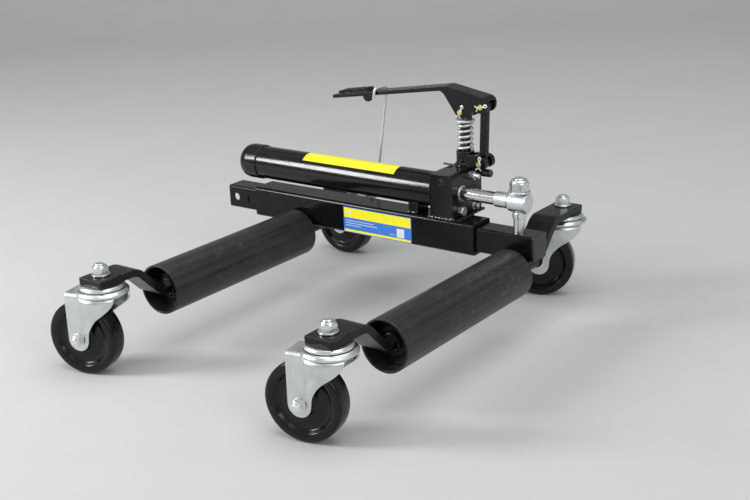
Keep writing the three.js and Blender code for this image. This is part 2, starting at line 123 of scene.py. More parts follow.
def put(axis, a, b, h):
    """(a, b) in the plane square to the axis, h along it."""
    return (h, a, b) if axis == "x" else (a, h, b) if axis == "y" else (a, b, h)


def tidy(bm):
    bmesh.ops.remove_doubles(bm, verts=bm.verts, dist=1e-4)
    bmesh.ops.dissolve_degenerate(bm, edges=bm.edges, dist=1e-5)
    bmesh.ops.recalc_face_normals(bm, faces=bm.faces)
    return bm


def lathe(prof, axis="z", seg=64, at=(0, 0, 0), twist=0.0):
    """Solid of revolution from (radius, height) pairs."""
    bm, rings = bmesh.new(), []
    closed = len(prof) > 2 and (Vector(prof[0]) - Vector(prof[-1])).length < 1e-6
    for r, h in prof[:-1] if closed else prof:
        if r < 1e-5:
            rings.append([bm.verts.new(Vector(put(axis, 0, 0, h)) + Vector(at))])
        else:
            rings.append([bm.verts.new(Vector(put(axis, r * math.cos(2 * pi * k / seg + twist), r * math.sin(2 * pi * k / seg + twist), h)) + Vector(at)) for k in range(seg)])
    pairs = list(zip(rings, rings[1:])) + ([(rings[-1], rings[0])] if closed else [])
    for A, B in pairs:
        for k in range(seg):
            j = (k + 1) % seg
            f = [A[k % len(A)], A[j % len(A)], B[j % len(B)], B[k % len(B)]]
            f = list(dict.fromkeys(f))
            if len(f) > 2:
                bm.faces.new(f)
    if not closed:
        for ring in (rings[0], rings[-1]):
            if len(ring) > 2:
                bm.faces.new(ring)
    return tidy(bm)


def prism(outline, axis, a, b):
    bm = bmesh.new()
    lo = [bm.verts.new(put(axis, p[0], p[1], a)) for p in outline]
    hi = [bm.verts.new(put(axis, p[0], p[1], b)) for p in outline]
    bm.faces.new(lo)
    bm.faces.new(hi)
    for k in range(len(outline)):
        j = (k + 1) % len(outline)
        bm.faces.new((lo[k], lo[j], hi[j], hi[k]))
    return tidy(bm)


def box(x0, y0, z0, x1, y1, z1):
    return prism([(y0, z0), (y1, z0), (y1, z1), (y0, z1)], "x", x0, x1)


def rod(axis, a, b, c, d, r, seg=48, ch=0.0, r2=None):
    """Round bar from a to b along an axis with chamfered ends; c and d are its other two coordinates."""
    r2 = r if r2 is None else r2
    prof = [(0, a), (r - ch, a), (r, a + ch), (r2, b - ch), (r2 - ch, b), (0, b)] if ch else [(0, a), (r, a), (r2, b), (0, b)]
    at = {"x": (0, c, d), "y": (c, 0, d), "z": (c, d, 0)}[axis]
    return lathe(prof, axis, seg, at)


def soften(bm, w, seg=2, angle=30):
    edges = [e for e in bm.edges if len(e.link_faces) == 2 and e.calc_face_angle(0) > rad(angle)]
    bmesh.ops.bevel(bm, geom=edges, offset=w, offset_type="OFFSET", segments=seg, profile=0.5, affect="EDGES", clamp_overlap=True)
    return bm


def loft(loops, closed=False, caps=False):
    """Closed loops of equal length joined one after another."""
    bm = bmesh.new()
    rings = [[bm.verts.new(p) for p in loop] for loop in loops]
    n = len(rings[0])
    for A, B in list(zip(rings, rings[1:])) + ([(rings[-1], rings[0])] if closed else []):
        for k in range(n):
            bm.faces.new((A[k], A[(k + 1) % n], B[(k + 1) % n], B[k]))
    if caps:
        bm.faces.new(rings[0])
        bm.faces.new(rings[-1])
    return tidy(bm)


def smooth_path(pts, step, closed=False):
    """Catmull-Rom through the points, resampled at about that step."""
    P, out = [Vector(p) for p in pts], []
    n = len(P)
    for i in range(n if closed else n - 1):
        p1, p2 = P[i], P[(i + 1) % n]
        p0 = P[(i - 1) % n] if closed or i else p1 * 2 - p2
        p3 = P[(i + 2) % n] if closed or i + 2 < n else p2 * 2 - p1
        k = max(1, int((p2 - p1).length / step))
        for s in range(k):
            t = s / k
            out.append(0.5 * ((2 * p1) + (p2 - p0) * t + (2 * p0 - 5 * p1 + 4 * p2 - p3) * t * t + (3 * p1 - p0 - 3 * p2 + p3) * t ** 3))
    if not closed:
        out.append(P[-1])
    return out


def sweep(path, radius, sides=14, closed=False):
    """Round wire along a path; radius is a number or a function of the index."""
    n = len(path)
    tang = []
    for i in range(n):
        a = path[(i - 1) % n] if closed or i else path[0]
        b = path[(i + 1) % n] if closed or i < n - 1 else path[-1]
        tang.append((b - a).normalized())
    ref = tang[0].orthogonal().normalized()
    loops = []
    for i in range(n):
        ref = (ref - tang[i] * ref.dot(tang[i])).normalized()
        side = tang[i].cross(ref)
        r = radius(i) if callable(radius) else radius
        loops.append([path[i] + (ref * math.cos(2 * pi * k / sides) + side * math.sin(2 * pi * k / sides)) * r for k in range(sides)])
    if closed:                                   # the last ring is turned to meet the first
        best = min(range(sides), key=lambda s: (loops[-1][s] - loops[0][0]).length)
        loops[-1] = loops[-1][best:] + loops[-1][:best]
    return loft(loops, closed=closed, caps=not closed)


def temp(bm):
    me = bpy.data.meshes.new("tmp")
    bm.to_mesh(me)
    ob = bpy.data.objects.new("tmp", me)
    scene.collection.objects.link(ob)
    return ob


def combine(a, b, op="DIFFERENCE"):
    oa, ob = temp(a), temp(b)
    mod = oa.modifiers.new("b", "BOOLEAN")
    mod.operation, mod.object, mod.solver = op, ob, "EXACT"
    bpy.context.view_layer.update()
    dg = bpy.context.evaluated_depsgraph_get()
    me = bpy.data.meshes.new_from_object(oa.evaluated_get(dg))
    out = bmesh.new()
    out.from_mesh(me)
    for o in (oa, ob):
        d = o.data
        bpy.data.objects.remove(o)
        bpy.data.meshes.remove(d)
    bpy.data.meshes.remove(me)
    a.free(), b.free()
    bmesh.ops.remove_doubles(out, verts=out.verts, dist=1e-4)
    return out


def cut(a, *tools):
    for t in tools:
        a = combine(a, t)
    return a


def union(a, *others):
    for o in others:
        a = combine(a, o, "UNION")
    return a


def gather(*parts):
    """Separate closed shells as one mesh."""
    out = bmesh.new()
    for p in parts:
        me = bpy.data.meshes.new("tmp")
        p.to_mesh(me)
        out.from_mesh(me)
        bpy.data.meshes.remove(me)
        p.free()
    return out


def hexagon(r, ca=0, cb=0, turn=0):
    return [(ca + r * math.cos(rad(60 * k + turn)), cb + r * math.sin(rad(60 * k + turn))) for k in range(6)]


def hex_nut(axis, a, b, c, d, r, turn=0, chamfer=(True, True)):
    """Hexagon prism whose corners are turned down to a cone at its faces."""
    at = {"x": (0, c, d), "y": (c, 0, d), "z": (c, d, 0)}[axis]
    h = b - a
    body = prism(hexagon(r, c, d, turn), axis, a, b)
    k, rf = r * 0.09, r * 0.91
    prof = [(0, a), (rf if chamfer[0] else r + 1, a), (r + 1, a + (k * 1.5 if chamfer[0] else 0.01)), (r + 1, b - (k * 1.5 if chamfer[1] else 0.01)),
            (rf if chamfer[1] else r + 1, b), (0, b)]
    return soften(combine(body, lathe(prof, axis, 48, at), "INTERSECT"), min(0.35, h * 0.05), 2, 25)


def sheet_grid(fn, nu, nv, thick):
    """Sheet metal: fn(u, v) gives the middle surface, thickened along its normals and closed at its edges."""
    pts = [[Vector(fn(i / nu, j / nv)) for j in range(nv + 1)] for i in range(nu + 1)]

    def normal(i, j):
        a, b = pts[min(i + 1, nu)][j] - pts[max(i - 1, 0)][j], pts[i][min(j + 1, nv)] - pts[i][max(j - 1, 0)]
        return a.cross(b).normalized()
    bm = bmesh.new()
    A = [[bm.verts.new(pts[i][j] + normal(i, j) * thick / 2) for j in range(nv + 1)] for i in range(nu + 1)]
    B = [[bm.verts.new(pts[i][j] - normal(i, j) * thick / 2) for j in range(nv + 1)] for i in range(nu + 1)]
    for i in range(nu):
        for j in range(nv):
            bm.faces.new((A[i][j], A[i + 1][j], A[i + 1][j + 1], A[i][j + 1]))
            bm.faces.new((B[i][j], B[i][j + 1], B[i + 1][j + 1], B[i + 1][j]))
    for i in range(nu):
        for j in (0, nv):
            bm.faces.new((A[i][j], A[i + 1][j], B[i + 1][j], B[i][j]))
    for j in range(nv):
        for i in (0, nu):
            bm.faces.new((A[i][j], A[i][j + 1], B[i][j + 1], B[i][j]))
    bmesh.ops.recalc_face_normals(bm, faces=bm.faces)
    return bm


SHARP = 34


def piece(name, bm, material, node=None, body=None, place=None, sharp=SHARP, weighted=True):
    """Makes the mesh, puts it in the row frame and lets it ride on its body."""
    place = place or Matrix.Identity(4)
    for v in bm.verts:
        v.co = to_row(place @ v.co)
    bmesh.ops.recalc_face_normals(bm, faces=bm.faces)
    for f in bm.faces:
        f.smooth = True
    me = bpy.data.meshes.new(name)
    bm.to_mesh(me)
    bm.free()
    me.set_sharp_from_angle(angle=rad(sharp))
    for mt in material if isinstance(material, (list, tuple)) else [material]:
        me.materials.append(mt)
    ob = bpy.data.objects.new(name, me)
    scene.collection.objects.link(ob)
    if weighted:
        mod = ob.modifiers.new("weighted", "WEIGHTED_NORMAL")
        mod.keep_sharp, mod.weight = True, 90
    replaced = [node] if isinstance(node, str) else (node or [])
    if replaced:
        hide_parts(*replaced)
    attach(ob, body or body_of(replaced[0]))
    return ob


# -------------------------------------------------------------- materials
class Mat:
    """A small builder for Principled materials made of noise, ramps and bump."""

    def __init__(self, name, metallic=0.0, coat=0.0, coat_rough=0.05, ior=1.5, specular=0.5):
        self.m = bpy.data.materials.new(name)
        self.m.use_nodes = True
        self.t = self.m.node_tree
        self.t.nodes.clear()
        out = self.t.nodes.new("ShaderNodeOutputMaterial")
        self.b = self.t.nodes.new("ShaderNodeBsdfPrincipled")
        self.t.links.new(self.b.outputs[0], out.inputs[0])
        s = self.b.inputs
        s["Metallic"].default_value = metallic
        s["Coat Weight"].default_value = coat
        s["Coat Roughness"].default_value = coat_rough
        s["IOR"].default_value = ior
        s["Specular IOR Level"].default_value = specular
        self.co = self.t.nodes.new("ShaderNodeTexCoord").outputs["Object"]

    def link(self, a, b):
        self.t.links.new(a, b)
        return b

    def put(self, socket, value):
        if hasattr(value, "is_linked"):
            self.t.links.new(value, socket)
        else:
            socket.default_value = value

    def stretch(self, sx, sy, sz):
        n = self.t.nodes.new("ShaderNodeMapping")
        n.inputs["Scale"].default_value = (sx, sy, sz)
        self.link(self.co, n.inputs["Vector"])
        return n.outputs[0]

    def noise(self, scale, detail=3, rough=0.55, vec=None, distort=0.0):
        n = self.t.nodes.new("ShaderNodeTexNoise")
        n.inputs["Scale"].default_value = scale
        n.inputs["Detail"].default_value = detail
        n.inputs["Roughness"].default_value = rough
        n.inputs["Distortion"].default_value = distort
        self.link(vec if vec is not None else self.co, n.inputs["Vector"])
        return n.outputs["Fac"]

    def voronoi(self, scale, vec=None, feature="F1"):
        n = self.t.nodes.new("ShaderNodeTexVoronoi")
        n.feature = feature
        n.inputs["Scale"].default_value = scale
        self.link(vec if vec is not None else self.co, n.inputs["Vector"])
        return n.outputs["Distance"]

    def ramp(self, fac, *stops):
        n = self.t.nodes.new("ShaderNodeValToRGB")
        e = n.color_ramp.elements
        while len(e) < len(stops):
            e.new(0.5)
        for s, (pos, col) in zip(e, stops):
            s.position = pos
            s.color = (*col, 1) if isinstance(col, tuple) else (col, col, col, 1)
        self.link(fac, n.inputs[0])
        return n.outputs[0]

    def remap(self, fac, a, b, c, d):
        n = self.t.nodes.new("ShaderNodeMapRange")
        for i, v in zip((1, 2, 3, 4), (a, b, c, d)):
            n.inputs[i].default_value = v
        self.link(fac, n.inputs[0])
        return n.outputs[0]

    def math(self, op, a, b=0.0):
        n = self.t.nodes.new("ShaderNodeMath")
        n.operation = op
        self.put(n.inputs[0], a)
        self.put(n.inputs[1], b)
        return n.outputs[0]

    def mix(self, fac, a, b):
        n = self.t.nodes.new("ShaderNodeMix")
        n.data_type = "RGBA"
        self.put(n.inputs["Factor"], fac)
        self.put(n.inputs[6], (*a, 1) if isinstance(a, tuple) else a)
        self.put(n.inputs[7], (*b, 1) if isinstance(b, tuple) else b)
        return n.outputs[2]

    def bump(self, height, strength, distance, normal=None):
        n = self.t.nodes.new("ShaderNodeBump")
        n.inputs["Strength"].default_value = strength
        n.inputs["Distance"].default_value = distance
        self.link(height, n.inputs["Height"])
        if normal is not None:
            self.link(normal, n.inputs["Normal"])
        return n.outputs[0]

    def edges(self, radius=0.0012, lo=0.02, hi=0.12):
        """1 on worn edges: where the rounded normal leaves the true one, broken up by noise."""
        bev = self.t.nodes.new("ShaderNodeBevel")
        bev.samples = 4
        bev.inputs["Radius"].default_value = radius
        geo = self.t.nodes.new("ShaderNodeNewGeometry")
        dot = self.t.nodes.new("ShaderNodeVectorMath")
        dot.operation = "DOT_PRODUCT"
        self.link(bev.outputs[0], dot.inputs[0])
        self.link(geo.outputs["Normal"], dot.inputs[1])
        edge = self.remap(self.math("SUBTRACT", 1.0, dot.outputs["Value"]), lo, hi, 0, 1)
        return self.math("MULTIPLY", edge, self.remap(self.noise(180, 4, 0.7), 0.45, 0.62, 0, 1))

    def done(self, color, rough, normal=None):
        self.put(self.b.inputs["Base Color"], (*color, 1) if isinstance(color, tuple) else color)
        self.put(self.b.inputs["Roughness"], rough)
        if normal is not None:
            self.link(normal, self.b.inputs["Normal"])
        return self.m


def black_paint(name, base=0.0045, r0=0.11, r1=0.22, wear=0.0, peel=0.10, dust=0.22, coat=0.10, spec=0.34):
    k = Mat(name, coat=coat, coat_rough=0.07, specular=spec)
    cloud = k.noise(38, 4, 0.6)
    fine = k.noise(1400, 2, 0.6)
    specks = k.math("MULTIPLY", k.remap(fine, 0.66, 0.76, 0, 1), k.remap(cloud, 0.42, 0.66, 0, dust))
    col = k.ramp(cloud, (0.3, (base * 0.75, base * 0.75, base * 0.8)), (0.72, (base * 1.55, base * 1.55, base * 1.6)))
    col = k.mix(specks, col, (0.16, 0.155, 0.15))
    rough = k.math("ADD", k.remap(k.noise(75, 3, 0.65), 0.3, 0.75, r0, r1), k.math("MULTIPLY", specks, 0.5))
    if wear:
        e = k.math("MULTIPLY", k.edges(), wear)
        col = k.mix(e, col, (0.30, 0.29, 0.28))
        rough = k.math("ADD", rough, k.math("MULTIPLY", e, 0.25))
    n = k.bump(k.noise(420, 2, 0.5), peel, 0.0004)
    n = k.bump(k.noise(70, 2, 0.5), peel * 0.5, 0.0012, n)
    return k.done(col, rough, n)


def make_materials():
    M = {}
    M["paint"] = black_paint("gloss_black_paint")
    M["paint_tube"] = black_paint("gloss_black_tube_paint", base=0.0045, r0=0.12, r1=0.20, wear=0.35, peel=0.06, dust=0.14, coat=0.0, spec=0.22)
    M["paint_worn"] = black_paint("worn_black_paint", base=0.0060, r0=0.20, r1=0.34, wear=0.75, peel=0.14, dust=0.18, coat=0.0, spec=0.24)
    M["paint_cast"] = black_paint("cast_black_paint", base=0.0045, r0=0.12, r1=0.26, wear=0.25, peel=0.30, dust=0.14)

    # satin black tube: draw lines along Y, chalky scuffs
    k = Mat("satin_black_roller", coat=0.0, specular=0.38)
    lines = k.noise(150, 4, 0.75, k.stretch(1, 0.014, 1))
    broad = k.noise(70, 3, 0.6, k.stretch(1, 0.03, 1))
    cloud = k.noise(22, 5, 0.65)
    scuff = k.math("MULTIPLY", k.remap(k.noise(420, 3, 0.7, k.stretch(0.35, 1, 0.35)), 0.56, 0.66, 0, 1), k.remap(k.noise(17, 4, 0.6), 0.50, 0.66, 0, 0.7))
    col = k.ramp(lines, (0.30, (0.005, 0.005, 0.0055)), (0.70, (0.034, 0.034, 0.035)))
    col = k.mix(k.remap(cloud, 0.45, 0.75, 0, 0.6), col, (0.040, 0.040, 0.040))
    col = k.mix(scuff, col, (0.17, 0.165, 0.16))
    rough = k.math("ADD", k.remap(broad, 0.3, 0.7, 0.30, 0.46), k.math("MULTIPLY", scuff, 0.3))
    n = k.bump(lines, 0.35, 0.0004)
    n = k.bump(k.noise(700, 2), 0.12, 0.0002, n)
    M["roller"] = k.done(col, rough, n)

    # turned black oxide: a fine grain of noise stretched along Y in the mesh's own place
    k = Mat("machined_black", metallic=0.0)
    grain = k.noise(900, 2, 0.6, k.stretch(1, 0.1, 1))
    col = k.ramp(k.noise(60, 4), (0.3, (0.008, 0.008, 0.0085)), (0.75, (0.022, 0.022, 0.023)))
    M["machined"] = k.done(col, k.remap(grain, 0.3, 0.7, 0.28, 0.45), k.bump(grain, 0.3, 0.0004))

    # bright zinc plate
    k = Mat("bright_zinc_plate", metallic=1.0)
    cloud = k.noise(55, 5, 0.65)
    haze = k.noise(14, 3, 0.6)
    scratch = k.noise(260, 4, 0.75, k.stretch(1, 1, 0.12))
    col = k.ramp(cloud, (0.28, (0.70, 0.725, 0.74)), (0.7, (0.87, 0.89, 0.895)))
    col = k.mix(k.remap(haze, 0.5, 0.8, 0, 0.35), col, (0.62, 0.66, 0.70))
    dirt = k.math("MULTIPLY", k.remap(k.noise(900, 3), 0.66, 0.75, 0, 0.5), k.remap(cloud, 0.4, 0.6, 0, 1))
    col = k.mix(dirt, col, (0.24, 0.24, 0.24))
    rough = k.math("ADD", k.remap(cloud, 0.3, 0.7, 0.24, 0.38), k.math("MULTIPLY", dirt, 0.3))
    n = k.bump(scratch, 0.07, 0.0003)
    n = k.bump(k.noise(160, 3), 0.10, 0.0004, n)
    M["zinc"] = k.done(col, rough, n)

    k = Mat("light_zinc_plate", metallic=0.65)
    cloud = k.noise(120, 4, 0.6)
    col = k.ramp(cloud, (0.3, (0.66, 0.69, 0.71)), (0.7, (0.84, 0.86, 0.87)))
    M["zinc_light"] = k.done(col, k.remap(cloud, 0.3, 0.7, 0.26, 0.40), k.bump(k.noise(400, 3), 0.10, 0.0003))

    k = Mat("pressed_zinc_sheet", metallic=1.0)
    cloud = k.noise(40, 5, 0.65)
    spangle = k.voronoi(230)
    col = k.ramp(cloud, (0.28, (0.58, 0.61, 0.61)), (0.7, (0.76, 0.79, 0.785)))
    col = k.mix(k.remap(spangle, 0.1, 0.7, 0, 0.22), col, (0.66, 0.70, 0.72))
    rough = k.remap(k.noise(90, 4, 0.7), 0.3, 0.72, 0.30, 0.47)
    n = k.bump(k.noise(520, 3, 0.6), 0.10, 0.0002)
    n = k.bump(k.noise(60, 2), 0.12, 0.001, n)
    M["zinc_sheet"] = k.done(col, rough, n)

    # hard chrome rod, grinding marks round it
    k = Mat("hard_chrome_rod", metallic=1.0)
    ring = k.noise(900, 2, 0.6, k.stretch(1, 0.03, 0.03))
    col = k.ramp(k.noise(30, 3), (0.3, (0.66, 0.67, 0.69)), (0.7, (0.76, 0.77, 0.78)))
    M["chrome"] = k.done(col, k.remap(ring, 0.3, 0.7, 0.07, 0.14), k.bump(ring, 0.05, 0.0001))

    k = Mat("oiled_steel", metallic=0.9)
    film = k.noise(90, 4, 0.6)
    col = k.ramp(film, (0.3, (0.030, 0.029, 0.028)), (0.7, (0.085, 0.082, 0.08)))
    M["oiled"] = k.done(col, k.remap(film, 0.3, 0.7, 0.2, 0.36), k.bump(k.noise(600, 2), 0.1, 0.0002))

    # yellow passivated zinc: straw to green and rose
    k = Mat("yellow_zinc_plate", metallic=1.0)
    tint = k.noise(260, 4, 0.6, distort=0.6)
    col = k.ramp(tint, (0.30, (0.62, 0.46, 0.16)), (0.48, (0.78, 0.64, 0.26)), (0.60, (0.62, 0.62, 0.26)), (0.74, (0.72, 0.46, 0.30)))
    M["yellow_zinc"] = k.done(col, k.remap(tint, 0.3, 0.7, 0.28, 0.42), k.bump(k.noise(700, 2), 0.1, 0.0002))

    # moulded wheels
    k = Mat("moulded_black_wheel", coat=0.05, coat_rough=0.08, specular=0.28)
    flow = k.noise(45, 4, 0.6, distort=1.2)
    grit = k.math("MULTIPLY", k.remap(k.noise(1100, 3, 0.7), 0.66, 0.76, 0, 1), k.remap(k.noise(28, 4), 0.5, 0.72, 0, 0.25))
    col = k.ramp(flow, (0.3, (0.0040, 0.0040, 0.0045)), (0.75, (0.0085, 0.0085, 0.0090)))
    col = k.mix(grit, col, (0.16, 0.15, 0.14))
    rough = k.math("ADD", k.remap(flow, 0.3, 0.7, 0.13, 0.21), k.math("MULTIPLY", grit, 0.3))
    n = k.bump(k.noise(300, 3), 0.09, 0.0003)
    M["wheel"] = k.done(col, rough, n)

    k = Mat("black_plastic_cap", coat=0.1)
    grain = k.noise(800, 3, 0.6)
    M["cap"] = k.done(k.ramp(k.noise(60, 3), (0.3, (0.012, 0.012, 0.012)), (0.7, (0.022, 0.022, 0.022))), k.remap(grain, 0.3, 0.7, 0.3, 0.45), k.bump(grain, 0.25, 0.0003))

    k = Mat("black_knob", coat=0.3)
    grain = k.noise(500, 3, 0.6, k.stretch(0.15, 1, 1))
    M["knob"] = k.done(k.ramp(k.noise(80, 3), (0.3, (0.010, 0.010, 0.010)), (0.7, (0.020, 0.020, 0.021))), k.remap(grain, 0.3, 0.7, 0.16, 0.3), k.bump(grain, 0.12, 0.0002))

    # printed films
    def film(name, a, b, r=0.32):
        k = Mat(name, coat=0.25, coat_rough=0.15)
        mott = k.noise(500, 3, 0.6)
        col = k.ramp(k.noise(120, 4, 0.6), (0.3, a), (0.7, b))
        col = k.mix(k.math("MULTIPLY", k.remap(mott, 0.66, 0.78, 0, 1), 0.25), col, tuple(0.5 * x for x in a))
        return k.done(col, k.remap(mott, 0.3, 0.7, r - 0.05, r + 0.1), k.bump(k.noise(90, 3), 0.12, 0.0006))
    M["film_yellow"] = film("yellow_film", (0.93, 0.84, 0.018), (0.98, 0.92, 0.03))
    M["film_blue"] = film("blue_film", (0.036, 0.18, 0.64), (0.050, 0.22, 0.74))
    M["film_white"] = film("white_film", (0.72, 0.74, 0.76), (0.82, 0.84, 0.86))
    return M


M = make_materials()

# ------------------------------------------------------------- dimensions
XL, XR, ZA = -124.0, 243.0, 90.2
BY, BZ = 129.5, 123.0
RZ = 181.0
PX, PY = 131.0, 168.0
PIVOT_P, PIVOT_Q, PIVOT_L = (163.9, 297.4), (131.0, 287.3), (161.0, 217.0)
LEAN = math.atan2(30.6, 198.0)


def rect_loop(x, w, r, n=6):
    out = []
    for sa, sb, a0 in ((1, 1, 0), (-1, 1, 90), (-1, -1, 180), (1, -1, 270)):
        for k in range(n + 1):
            t = rad(a0 + 90 * k / n)
            out.append(Vector((x, BY + sa * (w / 2 - r) + r * math.cos(t), BZ + sb * (w / 2 - r) + r * math.sin(t))))
    return out


def square_tube(w, t, x0, x1, r):
    ri = max(r - t, 1.0)
    wi = w - 2 * t
    return loft([rect_loop(x0 + 0.6, w, r), rect_loop(x1 - 0.6, w, r), rect_loop(x1 - 0.15, w - 0.3, r - 0.1), rect_loop(x1, w - 1.1, r - 0.3),
                 rect_loop(x1, wi + 0.5, ri), rect_loop(x1 - 0.5, wi, ri), rect_loop(x0 + 0.5, wi, ri), rect_loop(x0, wi + 0.5, ri),
                 rect_loop(x0, w - 1.1, r - 0.3), rect_loop(x0 + 0.15, w - 0.3, r - 0.1)], closed=True)


# -------------------------------------------------------------------- beam
piece("outer_beam_tube", square_tube(45, 4, -213, 180, 4.6), M["paint_tube"], "outer_tube")

inner = square_tube(35, 3, -271, 267.7, 3.6)
inner = cut(inner, *[rod("y", BY - 30, BY + 30, -256.5 + 28.5 * i, BZ, 6, 40) for i in range(5)])
inner = cut(inner, rod("z", BZ, BZ + 30, 239.5, BY, 8.4, 40))
piece("inner_beam_tube", inner, M["paint_tube"], "inner_tube")

cap = loft([rect_loop(258, 26, 2), rect_loop(268.0, 26, 2), rect_loop(268.0, 34.4, 3.4), rect_loop(268.3, 35, 3.6), rect_loop(270.2, 35, 3.6), rect_loop(270.8, 34.2, 3.4),
            rect_loop(271, 32.5, 3.2), rect_loop(271, 20, 3)], caps=True)
piece("inner_beam_end_cap", cap, M["cap"], "inner_tube_end_cap")


# ------------------------------------------------------------------ rollers
def weld(name, pts, r, body, closed=False, material=None, place=None):
    """A painted weld bead with ripples along it."""
    path = smooth_path(pts, 0.9, closed)
    seed = random.uniform(0, 50)

    def radius(i):
        return r * (1 + 0.10 * math.sin(i * 1.15) + 0.20 * (noise.noise(Vector((i * 0.17, seed, 0)))))
    return piece(name, sweep(path, radius, 8, closed), material or M["paint_cast"], body=body, place=place, weighted=False)


for side, x, b in (("left", XL, body_of("left_axle")), ("right", XR, body_of("right_axle"))):
    piece(side + "_arm_axle", rod("y", -177, 167, x, ZA, 10, 64, 0.8), M["paint_worn"], side + "_axle")
    R, r, a, c = 34.0, 31.0, -191.5, 99.0
    prof = rp([(r, a, 0.5), (R, a, 0.9), (R, c, 0.9), (r, c, 0.5)], 4, closed=True)
    piece(side + "_roller_tube", lathe(prof + prof[:1], "y", 112, (x, 0, ZA)), M["roller"], side + "_roller")
    for end, y, s in (("front", -165.5, -1), ("rear", 84.0, 1)):
        pr = [(10.3, -3), (30.7, -3), (30.7, 2.2), (30.0, 3), (28.6, 3), (28.2, 2.4), (27.2, 2.4), (26.8, 3), (21.2, 3), (20, 3.6), (19.2, 6.1), (18.4, 6.5), (14.2, 6.5), (13.6, 5.4), (10.3, 5.4), (10.3, -3)]
        piece(f"{side}_{end}_end_bush", lathe([(q, s * h) for q, h in pr], "y", 80, (x, y, ZA)), M["machined"], f"{side}_roller_{end}_bush")

    def bent(line, x0, x1):
        pts = rp(line, 12)
        left, rgt = [], []
        for i, p in enumerate(pts):
            a_, b_ = Vector(pts[max(i - 1, 0)]), Vector(pts[min(i + 1, len(pts) - 1)])
            d = (b_ - a_).normalized()
            left.append((p[0] - d.y * 5, p[1] + d.x * 5))
            rgt.append((p[0] + d.y * 5, p[1] - d.x * 5))
        return soften(prism(left + rgt[::-1], "x", x0, x1), 0.9, 3, 40)
    piece(side + "_front_arm_bracket", bent([(-299, 131), (-235, 131, 22), (-194.2, ZA, 14), (-177.3, ZA)], x - 29.3, x + 10.7), M["paint_worn"], side + "_front_bracket")
    piece(side + "_rear_arm_bracket", bent([(296, 131), (219, 131, 22), (178.2, ZA, 14), (167.3, ZA)], x - 35, x + 5), M["paint_worn"], side + "_rear_bracket")
    weld(side + "_front_weld", [(x + 10.6 * math.cos(t), -176.4, ZA + 10.6 * math.sin(t)) for t in [2 * pi * k / 24 for k in range(24)] if abs(math.sin(t)) < 0.93 or True], 1.6, b, True)
    weld(side + "_rear_weld", [(x + 10.6 * math.cos(t), 166.4, ZA + 10.6 * math.sin(t)) for t in [2 * pi * k / 24 for k in range(24)]], 1.6, b, True)

for k, dx in enumerate((-7.5, 7.5)):
    weld(f"left_axle_weld_{k}", [(XL + dx, 109 + i * 4.1, 98.8) for i in range(11)], 2.0, body_of("outer_tube"))
saddle = soften(box(XR - 20, BY - 17, ZA + 10.3, XR + 20, BY + 17, BZ - 17.8), 0.5, 2)
piece("right_arm_saddle", saddle, M["paint_worn"], "right_axle_saddle")


# ------------------------------------------------------------------ casters
def thread(r, z0, z1, pitch=1.75):
    """Profile of a threaded end, crest and root, with a chamfered tip."""
    out, z = [], z0
    while z < z1 - 1.4:
        out += [(r, z + 0.2 * pitch), (r, z + 0.35 * pitch), (r - 0.55, z + 0.75 * pitch), (r - 0.55, z + 0.9 * pitch)]
        z += pitch
    return out + [(r, min(z, z1 - 1.0)), (r - 1.2, z1), (0, z1)]


def fork_mesh():
    t = 2.8
    lead = [(z_, 31.7 - math.sqrt(225 - (50 - z_) ** 2)) for z_ in (35.3, 35.8, 36.8, 38.5, 41, 44, 47, 50)]
    lead += [(56, 16.4), (61, 15.2), (66, 13.0), (71, 9.7), (76, 5.5), (80.5, 1.0), (84.6, -4), (88.6, -9.5), (92.4, -14.6), (96, -19.0), (99.5, -22.6), (103, -25.2), (107, -26.8), (114, -27.4)]

    def x_lead(z):
        for (z0, x0), (z1, x1) in zip(lead, lead[1:]):
            if z <= z1:
                s = max(0.0, (z - z0) / (z1 - z0))
                return x0 + (x1 - x0) * s
        return lead[-1][1]

    def x_trail(z):
        if z >= 50:
            return 46.5
        return 31.7 + math.sqrt(max(14.8 ** 2 - (50 - z) ** 2, 2.0))

    def x_crease(z):
        a, b_ = x_lead(z), x_trail(z)
        return max(24.5, a + 0.28 * (b_ - a))

    def crown_half(x):
        circle = math.sqrt(max(33.0 ** 2 - x * x, 0))
        return 17.6 + (circle - 17.6) * smooth((24.8 - x) / 6.5)

    def smooth(s):
        s = max(0.0, min(1.0, s))
        return s * s * (3 - 2 * s)

    zs = [35.3, 35.8, 36.8, 38.5, 41, 44, 47, 50, 53, 57, 61, 65, 69, 73, 77, 81, 85, 89, 93, 96, 99, 102, 104.5, 106.5, 108.0]
    top = 112.0                                   # middle of the crown sheet
    bend = 3.9
    stations = [("leg", z) for z in zs] + [("bend", a) for a in (15, 30, 45, 60, 75, 90)] + [("top", s) for s in (0.82, 0.6, 0.35, 0.0)]

    def point(u_index, v, sign):
        kind, q = stations[u_index]
        z = q if kind == "leg" else 112.0
        a, b_, c = x_lead(z), x_trail(z), x_crease(z)
        x = a + (c - a) * (v / 0.62) if v < 0.62 else c + (b_ - c) * ((v - 0.62) / 0.38)
        half = crown_half(x)
        if kind == "leg":
            y = 17.6 + (half - 17.6) * smooth((z - 64) / 46)
            y += 0.9 * smooth((x - c + 0.6) / 1.6) * smooth((z - 44) / 10) - 0.9 * smooth((z - 44) / 10) if x < c + 1 else 0
            return (x, sign * y, min(z, top - bend))
        if kind == "bend":
            return (x, sign * (half - bend + bend * math.cos(rad(q))), top - bend + bend * math.sin(rad(q)))
        return (x, sign * (half - bend) * q, top)
    nst = len(stations)
    total = 2 * nst - 2                          # the middle station is shared

    def fn(u, v):
        i = round(u * total)
        return point(i, v, 1) if i < nst else point(total - i, v, -1)
    return sheet_grid(fn, total, 32, t)


